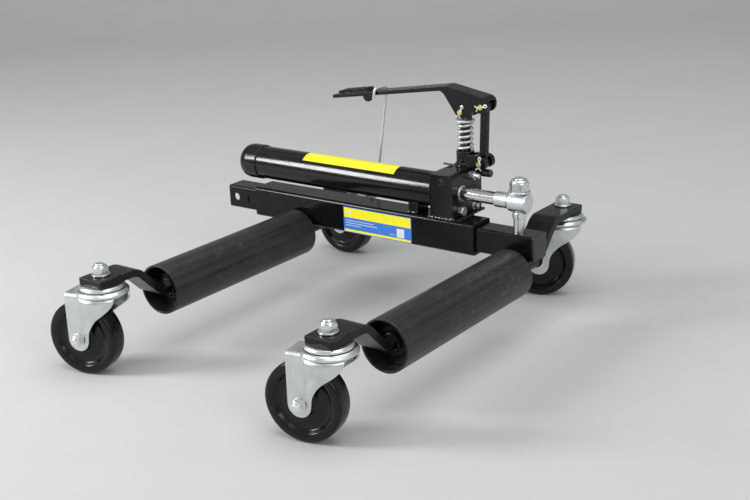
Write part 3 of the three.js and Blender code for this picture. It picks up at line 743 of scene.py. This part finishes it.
for pos, px, py, head in (("front_left", XL - 11.5, -278, 193.3), ("front_right", XR - 11.5, -278, 190), ("rear_left", XL - 16.5, 277.4, 178), ("rear_right", XR - 16.5, 277.4, 200)):
    fixed = Matrix.Translation((px, py, 0))
    turned = fixed @ Matrix.Rotation(rad(head), 4, "Z")
    # stem with the upper race: a rolled disc with a downturned lip
    race = rp([(0, 106.6), (9, 106.6), (13.6, 107.6, 1), (14, 111.2), (10.2, 111.4), (10.2, 120.4), (20, 120.4), (22.5, 119.2, 1.0), (27.6, 119.2, 1.0), (29, 121.0, 0.9), (29, 123.0, 1.2), (27.4, 125.4, 1.2), (24, 125.7), (6, 125.7)], 4)
    piece(pos + "_swivel_stem", lathe(race + [(6.0, 138)] + thread(6.0, 138, 152), "z", 72), M["zinc"], pos + "_caster_stem", place=fixed)
    z = 136.3
    washer = lathe(rp([(6.4, z), (12, z, 0.5), (12, z + 2.3, 0.5), (6.4, z + 2.3)], 3, True) + [(6.4, z)], "z", 56)
    nut = cut(hex_nut("z", z + 2.3, z + 11.4, 0, 0, 10.9, head * 1.7), rod("z", z, z + 20, 0, 0, 6.15, 32))
    collar = lathe(rp([(6.15, z + 11.2), (8.4, z + 11.2), (8.4, z + 12.4, 0.8), (7.4, z + 13.8, 0.7), (6.15, z + 13.8)], 3, True) + [(6.15, z + 11.2)], "z", 48)
    piece(pos + "_stem_lock_nut", gather(washer, nut, collar), M["zinc"], pos + "_caster_nut", place=fixed)

    swivel = body_of(pos + "_caster_fork")
    cup = rp([(11, 113.8), (31, 113.8), (33.9, 114.0, 1.0), (34.3, 116.4, 1.2), (32.0, 119.0, 1.6), (30.0, 120.0, 0.6), (27.5, 118.2, 1.0), (11, 118.2)], 4)
    ribs = lathe(cup + cup[:1], "z", 80)
    piece(pos + "_caster_fork_sheet", fork_mesh(), M["zinc_sheet"], pos + "_caster_fork", place=turned, weighted=False, sharp=45)
    piece(pos + "_swivel_cup", ribs, M["zinc"], body=swivel, place=turned)
    lower = rp([(11, 111.0), (11, 108.4), (17, 108.4, 1), (20, 110.4, 1), (20.6, 111.0)], 3)
    piece(pos + "_lower_race", lathe(lower + lower[:1], "z", 56), M["zinc"], body=swivel, place=turned)

    # moulded wheel: rounded tread, rim ring, dish with a step and a hub
    w = 13.5
    half = [(5.3, 14.8), (6.2, 15.6), (12.4, 15.6, 1.8), (14.2, 11.6, 3.0), (17.5, 8.4, 3.0), (30.0, 7.0, 4.0), (34.6, 8.0, 3.0), (38.6, 12.6, 2.4), (41.0, 13.5, 2.0), (46.0, 13.5, 2.6), (48.9, 12.0, 2.4), (49.7, 8.6, 3.5), (50.0, 3.0, 5)]
    prof = rp(half + [(q[0], -q[1], *q[2:]) for q in half[::-1]], 6)
    wheel = lathe(prof + prof[:1], "y", 112, (31.7, 0, 50))
    piece(pos + "_moulded_wheel", wheel, M["wheel"], pos + "_caster_wheel", place=turned)
    s = 19.3
    shank = rod("y", -s - 0.5, s + 9.3, 31.7, 50, 4.9, 32, 0.7)
    headm = gather(lathe(rp([(0, -s - 5.8), (3.6, -s - 5.8), (6.0, -s - 4.6, 1.5), (6.6, -s - 2.0, 0.6), (8.6, -s - 1.6, 0.8), (8.6, -s, 0.3), (0, -s)], 5), "y", 56, (31.7, 0, 50)),
                   lathe(rp([(5, s), (8.9, s, 0.3), (8.9, s + 1.1, 0.4), (5, s + 1.1)], 3, True) + [(5, s)], "y", 48, (31.7, 0, 50)),
                   cut(hex_nut("y", s + 1.1, s + 6.3, 31.7, 50, 8.2, 12), rod("y", s, s + 9, 31.7, 50, 4.95, 32)),
                   lathe(rp([(4.95, s + 6.1), (6.9, s + 6.1), (6.6, s + 7.6, 0.7), (4.95, s + 7.6)], 3, True) + [(4.95, s + 6.1)], "y", 40, (31.7, 0, 50)), shank)
    piece(pos + "_wheel_axle_bolt", headm, M["zinc"], pos + "_caster_axle_bolt", place=turned)

# --------------------------------------------------------------------- pump
cyl = rp([(19.5, -207.7), (24.6, -207.7, 0.4), (24.6, 111.7, 0.4), (19.5, 111.7)], 3, True)
piece("pump_barrel", lathe(cyl + cyl[:1], "x", 128, (0, BY, RZ)), M["paint"], "pump_cylinder")
e = -244.5
capp = rp([(0, e), (9, e, 4), (15.5, e + 0.9, 5), (21.4, e + 3.6, 6), (25.0, e + 9.0, 7), (26.2, e + 16, 8), (26.2, e + 36.4, 0.9), (19, e + 36.4), (19, e + 14), (0, e + 14)], 7)
piece("pump_barrel_end_cap", lathe(capp, "x", 112, (0, BY, RZ)), M["paint_cast"], "pump_end_cap")
weld("barrel_end_weld", [(-207.5, BY + 25.0 * math.cos(t), RZ + 25.0 * math.sin(t)) for t in [2 * pi * k / 40 for k in range(40)]], 0.9, body_of("pump_cylinder"), True)

x0, x1, y0, y1, z0, z1 = 112.0, 149.0, 104.5, 181.0, 149.3, 210.5
outline = [(x0, z0), (x1, z0)] + arc(x1 - 7, z1 - 7, 7, 0, 90, 10) + arc(x0 + 2, z1 - 2, 2, 90, 180, 5)
blk = soften(prism(outline, "y", y0, y1), 0.7, 3, 40)
blk = cut(blk, rod("x", x0 - 5, x1 + 5, BY, RZ, 9.4, 64), rod("z", 188, z1 + 5, PX, PY, 7.6, 48), rod("y", y0 - 2, y0 + 1.8, 129, 200.4, 6.1, 48))
piece("pump_manifold_block", blk, M["paint_cast"], "pump_block")
plug = cut(rod("y", y0 - 0.2, y0 + 1.8, 129, 200.4, 5.7, 48, 0.5), prism(hexagon(3.0, 129, 200.4, 10), "y", y0 - 1, y0 + 1.2))
piece("block_face_plug", plug, M["oiled"], body=body_of("pump_block"))
collar = rp([(9.35, x1 - 1), (10.8, x1 - 1), (10.8, x1 + 0.9, 0.5), (9.35, x1 + 1.2)], 3, True)
piece("rod_wiper_ring", lathe(collar + collar[:1], "x", 64, (0, BY, RZ)), M["zinc"], body=body_of("pump_block"))
weld("barrel_block_weld", [(111.2, BY + 25.4 * math.cos(t), RZ + 25.4 * math.sin(t)) for t in [2 * pi * k / 40 for k in range(40)]], 1.3, body_of("pump_cylinder"), True)

piece("pump_mount_plate", soften(box(107, 105.5, 145.8, 155, 180, 149.0), 0.5, 2), M["paint_worn"], "pump_base_plate")
for k, pts in enumerate(([(106.6, 108 + 4 * i, 146.7) for i in range(11)], [(155.4, 108 + 4 * i, 146.7) for i in range(11)], [(110 + 4.2 * i, 105.2, 148.6) for i in range(11)])):
    weld(f"mount_plate_weld_{k}", pts, 1.5, body_of("pump_base_plate"))
weld("mount_corner_weld", [(147 + 1.2 * i, 104.6, 150.4 - 0.2 * i) for i in range(6)], 2.1, body_of("pump_base_plate"))
sup = cut(box(68, BY - 14, 145.8, 83, BY + 14, 165.0), rod("x", 50, 100, BY, RZ, 24.9, 96))
piece("pump_barrel_support", soften(sup, 0.5, 2, 40), M["paint_worn"], "pump_support")
for k, yy in enumerate((BY - 14.2, BY + 14.2)):
    weld(f"support_weld_{k}", [(68 + 1.5 * i, yy, 146.6) for i in range(11)], 1.4, body_of("pump_support"))

rodp = rp([(0, -153), (19.1, -153, 0.8), (19.1, -134, 0.8), (9, -134, 0.6), (9, 203.7, 0.3), (0, 203.7)], 3)
piece("ram_chrome_rod", lathe(rodp, "x", 96, (0, BY, RZ)), M["chrome"], "ram_rod")
eye = rp([(0, 204), (9.6, 204, 0.8), (11, 205.2, 0.8), (11, 224.2, 2.6), (13.75, 227.4, 1.6), (13.75, 252.2, 1.1), (12.6, 253.5, 0.6), (0, 253.5)], 6)
eye = cut(lathe(eye, "x", 96, (0, BY, RZ)), rod("z", 150, 220, 239.5, BY, 8.4, 48))
piece("ram_forged_eye", eye, M["zinc"], "ram_eye")
pin = rp([(0, BZ - 14.2), (7, BZ - 14.2, 0.5), (8, BZ - 13.2, 0.5), (8, 159.5), (9.4, 159.9, 0.5), (9.6, 161), (9.6, 167.2, 0.6), (8, 167.2)], 3) + [(8, 205)] + thread(8.0, 205, 215, 2.0)
piece("ram_clamp_pin", lathe(pin, "z", 72, (239.5, BY, 0)), M["zinc"], "ram_pin")
z = RZ + 13.75 + 0.3
nn = gather(lathe(rp([(8.3, z), (15, z, 0.6), (15, z + 2.5, 0.6), (8.3, z + 2.5)], 3, True) + [(8.3, z)], "z", 72, (239.5, BY, 0)),
            cut(hex_nut("z", z + 2.5, z + 14.4, 239.5, BY, 13.8, 14), rod("z", z, z + 30, 239.5, BY, 8.3, 40)),
            lathe(rp([(8.3, z + 14.2), (11.9, z + 14.2), (11.7, z + 16.2, 1.6), (10.2, z + 18, 1.2), (8.3, z + 18)], 4, True) + [(8.3, z + 14.2)], "z", 64, (239.5, BY, 0)))
piece("ram_pin_lock_nut", nn, M["zinc"], "ram_pin_nut")

# plunger housing, its lugs and the weld ring round its foot
zb = z1 + 0.3
cupp = rp([(7.6, zb), (14.2, zb, 0.5), (14.2, zb + 3.2, 0.8), (12.8, zb + 4.6, 0.6), (12.8, zb + 9.2, 0.3), (12.3, zb + 9.8), (12.3, zb + 10.6), (12.8, zb + 11.2, 0.3), (12.8, 231.3, 0.7), (7.6, 231.3)], 4, True)
lug = rp([(140, zb), (140, 227.5, 1), (156, 229, 4), (164, 228.4, 4), (169.4, 225.6, 5), (171.8, 219, 5), (170.6, 212, 5), (163, 209.4, 5), (150.2, 209.4, 0.5), (149.8, zb)], 4, True)
housing = gather(lathe(cupp + cupp[:1], "z", 80, (PX, PY, 0)),
                 *[cut(soften(prism(lug, "y", PY + a_, PY + b_), 0.6, 2, 45), rod("y", PY - 20, PY + 20, PIVOT_L[0], PIVOT_L[1], 4.3, 28)) for a_, b_ in ((-13, -5), (5, 13))])
piece("plunger_guide_housing", housing, M["paint_cast"], "plunger_housing")
weld("housing_weld", [(PX + 14.6 * math.cos(t), PY + 13.6 * math.sin(t) if math.sin(t) > 0 else PY + 14.6 * math.sin(t), z1 + 0.8) for t in [2 * pi * k / 30 for k in range(30)]], 1.2, body_of("plunger_housing"), True)
piece("block_locating_pin", rod("x", 103.5, 118.5, PY - 14.5, 212.2, 1.4, 20, 0.3), M["oiled"], body=body_of("pump_block"))

plp = rp([(0, 206), (6.4, 206, 0.4), (7, 207, 0.4), (7, 280), (0, 280)], 3)
headp = cut(soften(prism([(PX - 8, 276), (PX + 8, 276)] + arc(PIVOT_Q[0], PIVOT_Q[1] + 0.6, 8, 0, 180, 20), "y", PY - 6.6, PY + 6.6), 0.5, 2, 45), rod("y", PY - 20, PY + 20, *PIVOT_Q, 5.4, 32))
piece("pump_plunger_stem", gather(lathe(plp, "z", 56, (PX, PY, 0)), headp), M["oiled"], "plunger")
wsh = rp([(7.3, 272.3), (13.2, 272.3, 0.4), (14, 273.2, 0.5), (14, 275.0, 0.6), (13.3, 275.7, 0.5), (7.3, 275.7)], 3, True)
piece("plunger_spring_washer", lathe(wsh + wsh[:1], "z", 64, (PX, PY, 0)), M["zinc_light"], "spring_washer")

# spring: closed and ground ends, five and a half turns
rw, rs, s0, s1, turns = 1.8, 10.4, 233.4, 270.2, 5.5
pts = []
for i in range(361):
    t = i / 360
    a_ = 2 * pi * turns * t
    q = 0.09
    s = 0.25 * t if t < q else 1 - 0.25 * (1 - t) if t > 1 - q else 0.25 * q + (t - q) * (1 - 0.5 * q) / (1 - 2 * q)
    pts.append(Vector((PX + rs * math.cos(a_), PY + rs * math.sin(a_), s0 + (s1 - s0) * s)))
piece("plunger_coil_spring", sweep(pts, rw, 14), M["zinc_light"], "plunger_spring", weighted=False)

# -------------------------------------------------------------------- lever
HALF, CHEEK = 12.5, 4.0
outline = rp([(-91, 291.6, 1.2), (107, 322.2, 7), (168, 311.2, 4), (173.4, 307.6, 3), (175.2, 302, 5), (174.4, 295, 4), (171, 290.4, 4), (165, 288.2, 3), (158, 288.4, 3), (152, 289.6, 4), (147.6, 285, 3), (143, 281, 3),
              (136, 279.2, 3), (128, 279.2, 3), (124.6, 281.4, 4), (104, 310.4, 6), (98, 314.2, 6), (-90.6, 286.4, 1)], 6, True)
inside = rp([(-84, 289.6), (106.4, 318.6, 5), (167, 307.4, 3), (180, 305), (180, 240), (20, 240), (-84, 270)], 6, True)
body_l = soften(prism(outline, "y", PY - HALF, PY + HALF), 0.9, 3, 50)
body_l = cut(body_l, prism(inside, "y", PY - HALF + CHEEK, PY + HALF - CHEEK), rod("y", PY - 20, PY + 20, *PIVOT_P, 4.3, 28), rod("y", PY - 20, PY + 20, *PIVOT_Q, 4.3, 28))
heel = soften(prism(rp([(-36, 297.5), (-34.6, 292, 3), (-32, 288.6, 3), (-28, 287, 3), (-24, 287.6, 3), (-21, 290.6, 3), (-19, 299.5)], 4, True), "y", PY - HALF + 0.2, PY - HALF + 5), 0.5, 2, 50)
piece("pump_foot_lever", gather(body_l, heel), M["paint_worn"], "pump_lever")

lean = Matrix.Translation((-79 - 0.35 * math.sin(LEAN), PY, 291.6 + 12 * math.tan(LEAN) + 0.36)) @ Matrix.Rotation(-LEAN, 4, "Y")
n_teeth, length = 8, 50.0
pitch = length / n_teeth
saw = [(0, 0), (0, 1.3)]
for i in range(n_teeth):
    saw += [(i * pitch + 0.9, 4.6, 0.4), ((i + 0.42) * pitch, 4.6, 0.5), ((i + 0.56) * pitch, 1.3, 0.4), ((i + 1) * pitch - 0.1, 1.3, 0.3)]
saw += [(length, 0)]
pad = soften(prism(rp(saw, 3, True), "y", -HALF, HALF), 0.35, 2, 50)
piece("lever_foot_pad", pad, M["paint_worn"], "foot_pad", place=lean)

dx, dz = PIVOT_P[0] - PIVOT_L[0], PIVOT_P[1] - PIVOT_L[1]
ll = math.hypot(dx, dz)
lk = arc(0, 0, 7.6, 137, 403, 18) + [(5.6, 9), (5.6, ll - 9)] + arc(0, ll, 7.6, -43, 223, 18) + [(-5.6, ll - 9), (-5.6, 9)]
lkm = cut(soften(prism(lk, "y", -3.6, 3.6), 0.7, 3, 45), rod("y", -9, 9, 0, 0, 4.3, 28), rod("y", -9, 9, 0, ll, 4.3, 28))
piece("lever_fulcrum_link", lkm, M["paint_worn"], "lever_link", place=Matrix.Translation((PIVOT_L[0], PY, PIVOT_L[1])) @ Matrix.Rotation(math.atan2(dx, dz), 4, "Y"))


def clevis(name, node, x, z_, half, turn):
    pr = rp([(0, -half), (3.2, -half), (4, -half + 0.8), (4, half - 0.3), (6.2, half - 0.3, 0.4), (6.2, half + 1.3, 0.7), (5.4, half + 2, 0.3), (0, half + 2)], 3)
    piece(name, lathe(pr, "y", 48, (x, PY, z_)), M["yellow_zinc"], node)
    # split pin: two half-round legs bent apart behind a round eye
    yy = PY - half + 1.9
    loop = [(0, 0, -4.6), (0, 0, 0), (0, 0, 4.4), (0, -1.1, 6.4), (0, -1.9, 8.6), (0, 0, 10.4), (0, 1.9, 8.6), (0, 1.1, 6.4), (0.9, 0, 4.4), (0.9, 0, -3.4), (2.2, 0, -6.0), (4.4, 0, -7.6)]
    loop2 = [(0, 0, -4.6), (-1.6, 0, -6.6), (-3.6, 0, -8.2)]
    pl = Matrix.Translation((x, yy, z_)) @ Matrix.Rotation(rad(turn), 4, "Y")
    # the eye is turned to face forward
    eye_ = [Vector((p[1] + p[0] * 0.9, 0.0, p[2])) if p[2] > 4.4 else Vector((p[0], 0.0, p[2])) for p in loop]
    gm = gather(sweep(smooth_path(eye_, 0.6), 1.0, 10), sweep(smooth_path([Vector(p) for p in loop2], 0.5), 1.0, 10))
    piece(name + "_split_pin", gm, M["zinc_light"], body=body_of(node), place=pl, weighted=False)


clevis("plunger_clevis_pin", "plunger_pin", *PIVOT_Q, 15.2, 24)
clevis("upper_link_clevis_pin", "link_upper_pin", *PIVOT_P, 15.2, 74)
clevis("lower_link_clevis_pin", "link_lower_pin", *PIVOT_L, 15.6, 8)

# ----------------------------------------------- valve, plugs and bolts
kx = x1
knob = rp([(0, kx + 0.3), (3.4, kx + 0.3), (3.4, kx + 6, 0.3), (4.9, kx + 6.4), (5.6, kx + 7.4, 0.4), (5.6, kx + 9.6), (5.1, kx + 10.0), (5.1, kx + 10.6), (5.6, kx + 11.0), (5.6, kx + 20.2, 0.6), (4.4, kx + 22, 0.8), (0, kx + 22)], 4)
piece("release_valve_knob", cut(lathe(knob, "x", 56, (0, 172, 201.5)), rod("y", 150, 190, kx + 14.5, 201.5, 3, 32)), M["knob"], "release_valve")


def plug_bolt(name, node, y, z_, r, h):
    stub = rp([(0, kx + h), (r * 0.62, kx + h), (r * 0.62, kx + h + 6.4, 0.6), (r * 0.42, kx + h + 7.2, 0.4), (0, kx + h + 7.2)], 3)
    piece(name, gather(hex_nut("x", kx + 0.3, kx + 0.3 + h, y, z_, r, 20), lathe(stub, "x", 40, (0, y, z_))), M["zinc"], node)


plug_bolt("upper_relief_plug", "block_upper_plug", 149, 202.2, 6, 9)
plug_bolt("lower_check_plug", "block_lower_plug", 147, 160.5, 6, 9)
fb = rp([(0, kx + 0.3), (6.2, kx + 0.3), (6.5, kx + 0.8), (6.5, kx + 8.4, 0.6), (5.9, kx + 9.3, 0.3), (0, kx + 9.3)], 3)
piece("block_socket_bolt", cut(lathe(fb, "x", 56, (0, 121.5, 158)), prism(hexagon(3.4, 121.5, 158, 10), "x", kx + 4.5, kx + 20)), M["zinc"], "block_front_bolt")

# --------------------------------------------------------------- wire hook
r = 2.0
yb, yf, zt = PY + HALF + 0.9 + r, PY - HALF - 0.9 - r, 3.4
hp = [(yf + 0.5, -11), (yf, -6), (yf, -0.4), (yf + 0.9, 2.4), (yf + 3.4, zt), (PY, zt), (yb - 3.4, zt), (yb - 0.9, 2.4), (yb, -0.4), (yb, -8), (yb, -60), (yb, -120),
      (yb, -146), (yb - 1.2, -152), (yb - 5, -156), (yb - 10, -156.5), (yb - 14, -153), (yb - 15.4, -147)]
hk = sweep(smooth_path([(0, a_, b_) for a_, b_ in hp], 1.1), r, 16)
piece("pedal_wire_hook", hk, M["zinc_light"], "pedal_hook", weighted=False, place=Matrix.Translation((-12, 0, 303.84)) @ Matrix.Rotation(LEAN, 4, "Y"))


# ------------------------------------------------------------------- labels
def panel(name, xs, zs, pick, mats, surface, thick, body):
    """A thin film cut into cells, each with its own print colour."""
    bm = bmesh.new()
    A = [[bm.verts.new(surface(x, z_, thick)) for z_ in zs] for x in xs]
    B = [[bm.verts.new(surface(x, z_, 0.0)) for z_ in zs] for x in xs]
    for i in range(len(xs) - 1):
        for j in range(len(zs) - 1):
            f = bm.faces.new((A[i][j], A[i + 1][j], A[i + 1][j + 1], A[i][j + 1]))
            f.material_index = pick((xs[i] + xs[i + 1]) / 2, (zs[j] + zs[j + 1]) / 2)
            bm.faces.new((B[i][j], B[i][j + 1], B[i + 1][j + 1], B[i + 1][j]))
    for i in range(len(xs) - 1):
        for j in (0, len(zs) - 1):
            bm.faces.new((A[i][j], A[i + 1][j], B[i + 1][j], B[i][j]))
    for j in range(len(zs) - 1):
        for i in (0, len(xs) - 1):
            bm.faces.new((A[i][j], A[i][j + 1], B[i][j + 1], B[i][j]))
    return piece(name, bm, mats, body=body, weighted=False)


LX0, LX1, LZ0, LZ1 = -42.0, 78.0, 102.2, 140.4
rules = [(-38.5, 12, 119.6, 120.5), (-38.5, 18, 116.0, 116.9), (-38.5, -11, 112.4, 113.3), (40, 49, 110.2, 110.9)]
square = (52.5, 65.5, 107.9, 120.9)
mark = (-33.0, -28.0, 129.6, 134.6)


def label_pick(x, z_):
    if not (LX0 + 1.2 < x < LX1 - 1.2 and LZ0 + 1.0 < z_ < LZ1 - 1.2):
        return 0
    if mark[0] < x < mark[1] and mark[2] < z_ < mark[3]:
        return 2
    if z_ > 124.4 or z_ < 106.6:
        return 1
    if square[0] < x < square[1] and square[2] < z_ < square[3]:
        return 2
    return 2 if any(a_ < x < b_ and c_ < z_ < d_ for a_, b_, c_, d_ in rules) else 0


xs = sorted({LX0, LX0 + 1.2, LX1 - 1.2, LX1, *square[:2], *mark[:2], *[q for t in rules for q in t[:2]]})
zs = sorted({LZ0, LZ0 + 1.0, LZ1 - 1.2, LZ1, 124.4, 106.6, *square[2:], *mark[2:], *[q for t in rules for q in t[2:]]})
face_y = BY - 22.5
panel("beam_front_label", xs, zs, label_pick, [M["film_blue"], M["film_yellow"], M["film_white"]], lambda x, z_, t: (x, face_y - 0.03 - t, z_), 0.16, body_of("outer_tube"))


def on_barrel(x, a_, t):
    q = rad(a_)
    return (x, BY - (24.63 + t) * math.sin(q), RZ + (24.63 + t) * math.cos(q))


panel("barrel_top_sticker", [-119 + 165 * i / 30 for i in range(31)], [-38 + 82 * i / 28 for i in range(29)], lambda x, a_: 0, [M["film_yellow"]], on_barrel, 0.14, body_of("pump_cylinder"))

# ---------------------------------------------------------- stage and light
k = Mat("studio_floor")
grain = k.noise(8, 3, 0.5)
floor_col = k.ramp(grain, (0.3, (0.540, 0.540, 0.540)), (0.7, (0.555, 0.555, 0.554)))
floor_mat = k.done(floor_col, 0.85, k.bump(k.noise(90, 2), 0.02, 0.001))
bm = bmesh.new()
prof = [(-7.0, 0.0), (-2.0, 0.0), (0.0, 0.0), (1.6, 0.0), (2.6, 0.0)] + [(2.6 + 1.6 * math.sin(rad(a_)), 1.6 - 1.6 * math.cos(rad(a_))) for a_ in range(6, 91, 6)] + [(4.2, 6.0)]
rows = [[bm.verts.new((xx, yy, zz)) for yy, zz in prof] for xx in (-9, -3, 0, 3, 9)]
for A_, B_ in zip(rows, rows[1:]):
    for j in range(len(prof) - 1):
        bm.faces.new((A_[j], A_[j + 1], B_[j + 1], B_[j]))
turn = Matrix.Rotation(az, 4, "Z")
for v in bm.verts:
    v.co = turn @ v.co
bmesh.ops.recalc_face_normals(bm, faces=bm.faces)
for f in bm.faces:
    f.smooth = True
me = bpy.data.meshes.new("studio_floor")
bm.to_mesh(me)
bm.free()
me.materials.append(floor_mat)
floor = bpy.data.objects.new("studio_floor", me)
scene.collection.objects.link(floor)


def area(name, loc, target, w, h, power, color=(1, 1, 1)):
    d = bpy.data.lights.new(name, "AREA")
    d.shape, d.size, d.size_y, d.energy, d.color = "RECTANGLE", w, h, power, color
    o = bpy.data.objects.new(name, d)
    scene.collection.objects.link(o)
    o.location = loc
    o.rotation_mode = "QUATERNION"
    o.rotation_quaternion = (Vector(target) - Vector(loc)).to_track_quat("-Z", "Y")
    return o


area("softbox_left", (-1.52, -1.55, 1.22), (0.0, 0.1, 0.17), 0.62, 0.86, 44)
area("softbox_top", (0.55, -0.1, 3.2), (0.1, 0, 0), 3.4, 3.0, 50)
area("softbox_right", (2.6, -0.9, 1.6), (0, 0.2, 0.1), 1.5, 1.3, 20)

world = bpy.data.worlds.new("studio")
world.use_nodes = True
world.node_tree.nodes["Background"].inputs[0].default_value = (0.98, 0.99, 1.0, 1)
world.node_tree.nodes["Background"].inputs[1].default_value = 0.46
scene.world = world
scene.view_settings.view_transform = "Standard"
scene.view_settings.look = "None"
scene.view_settings.exposure = 0.0

# ------------------------------------------------------------------- finish
bpy.context.view_layer.update()
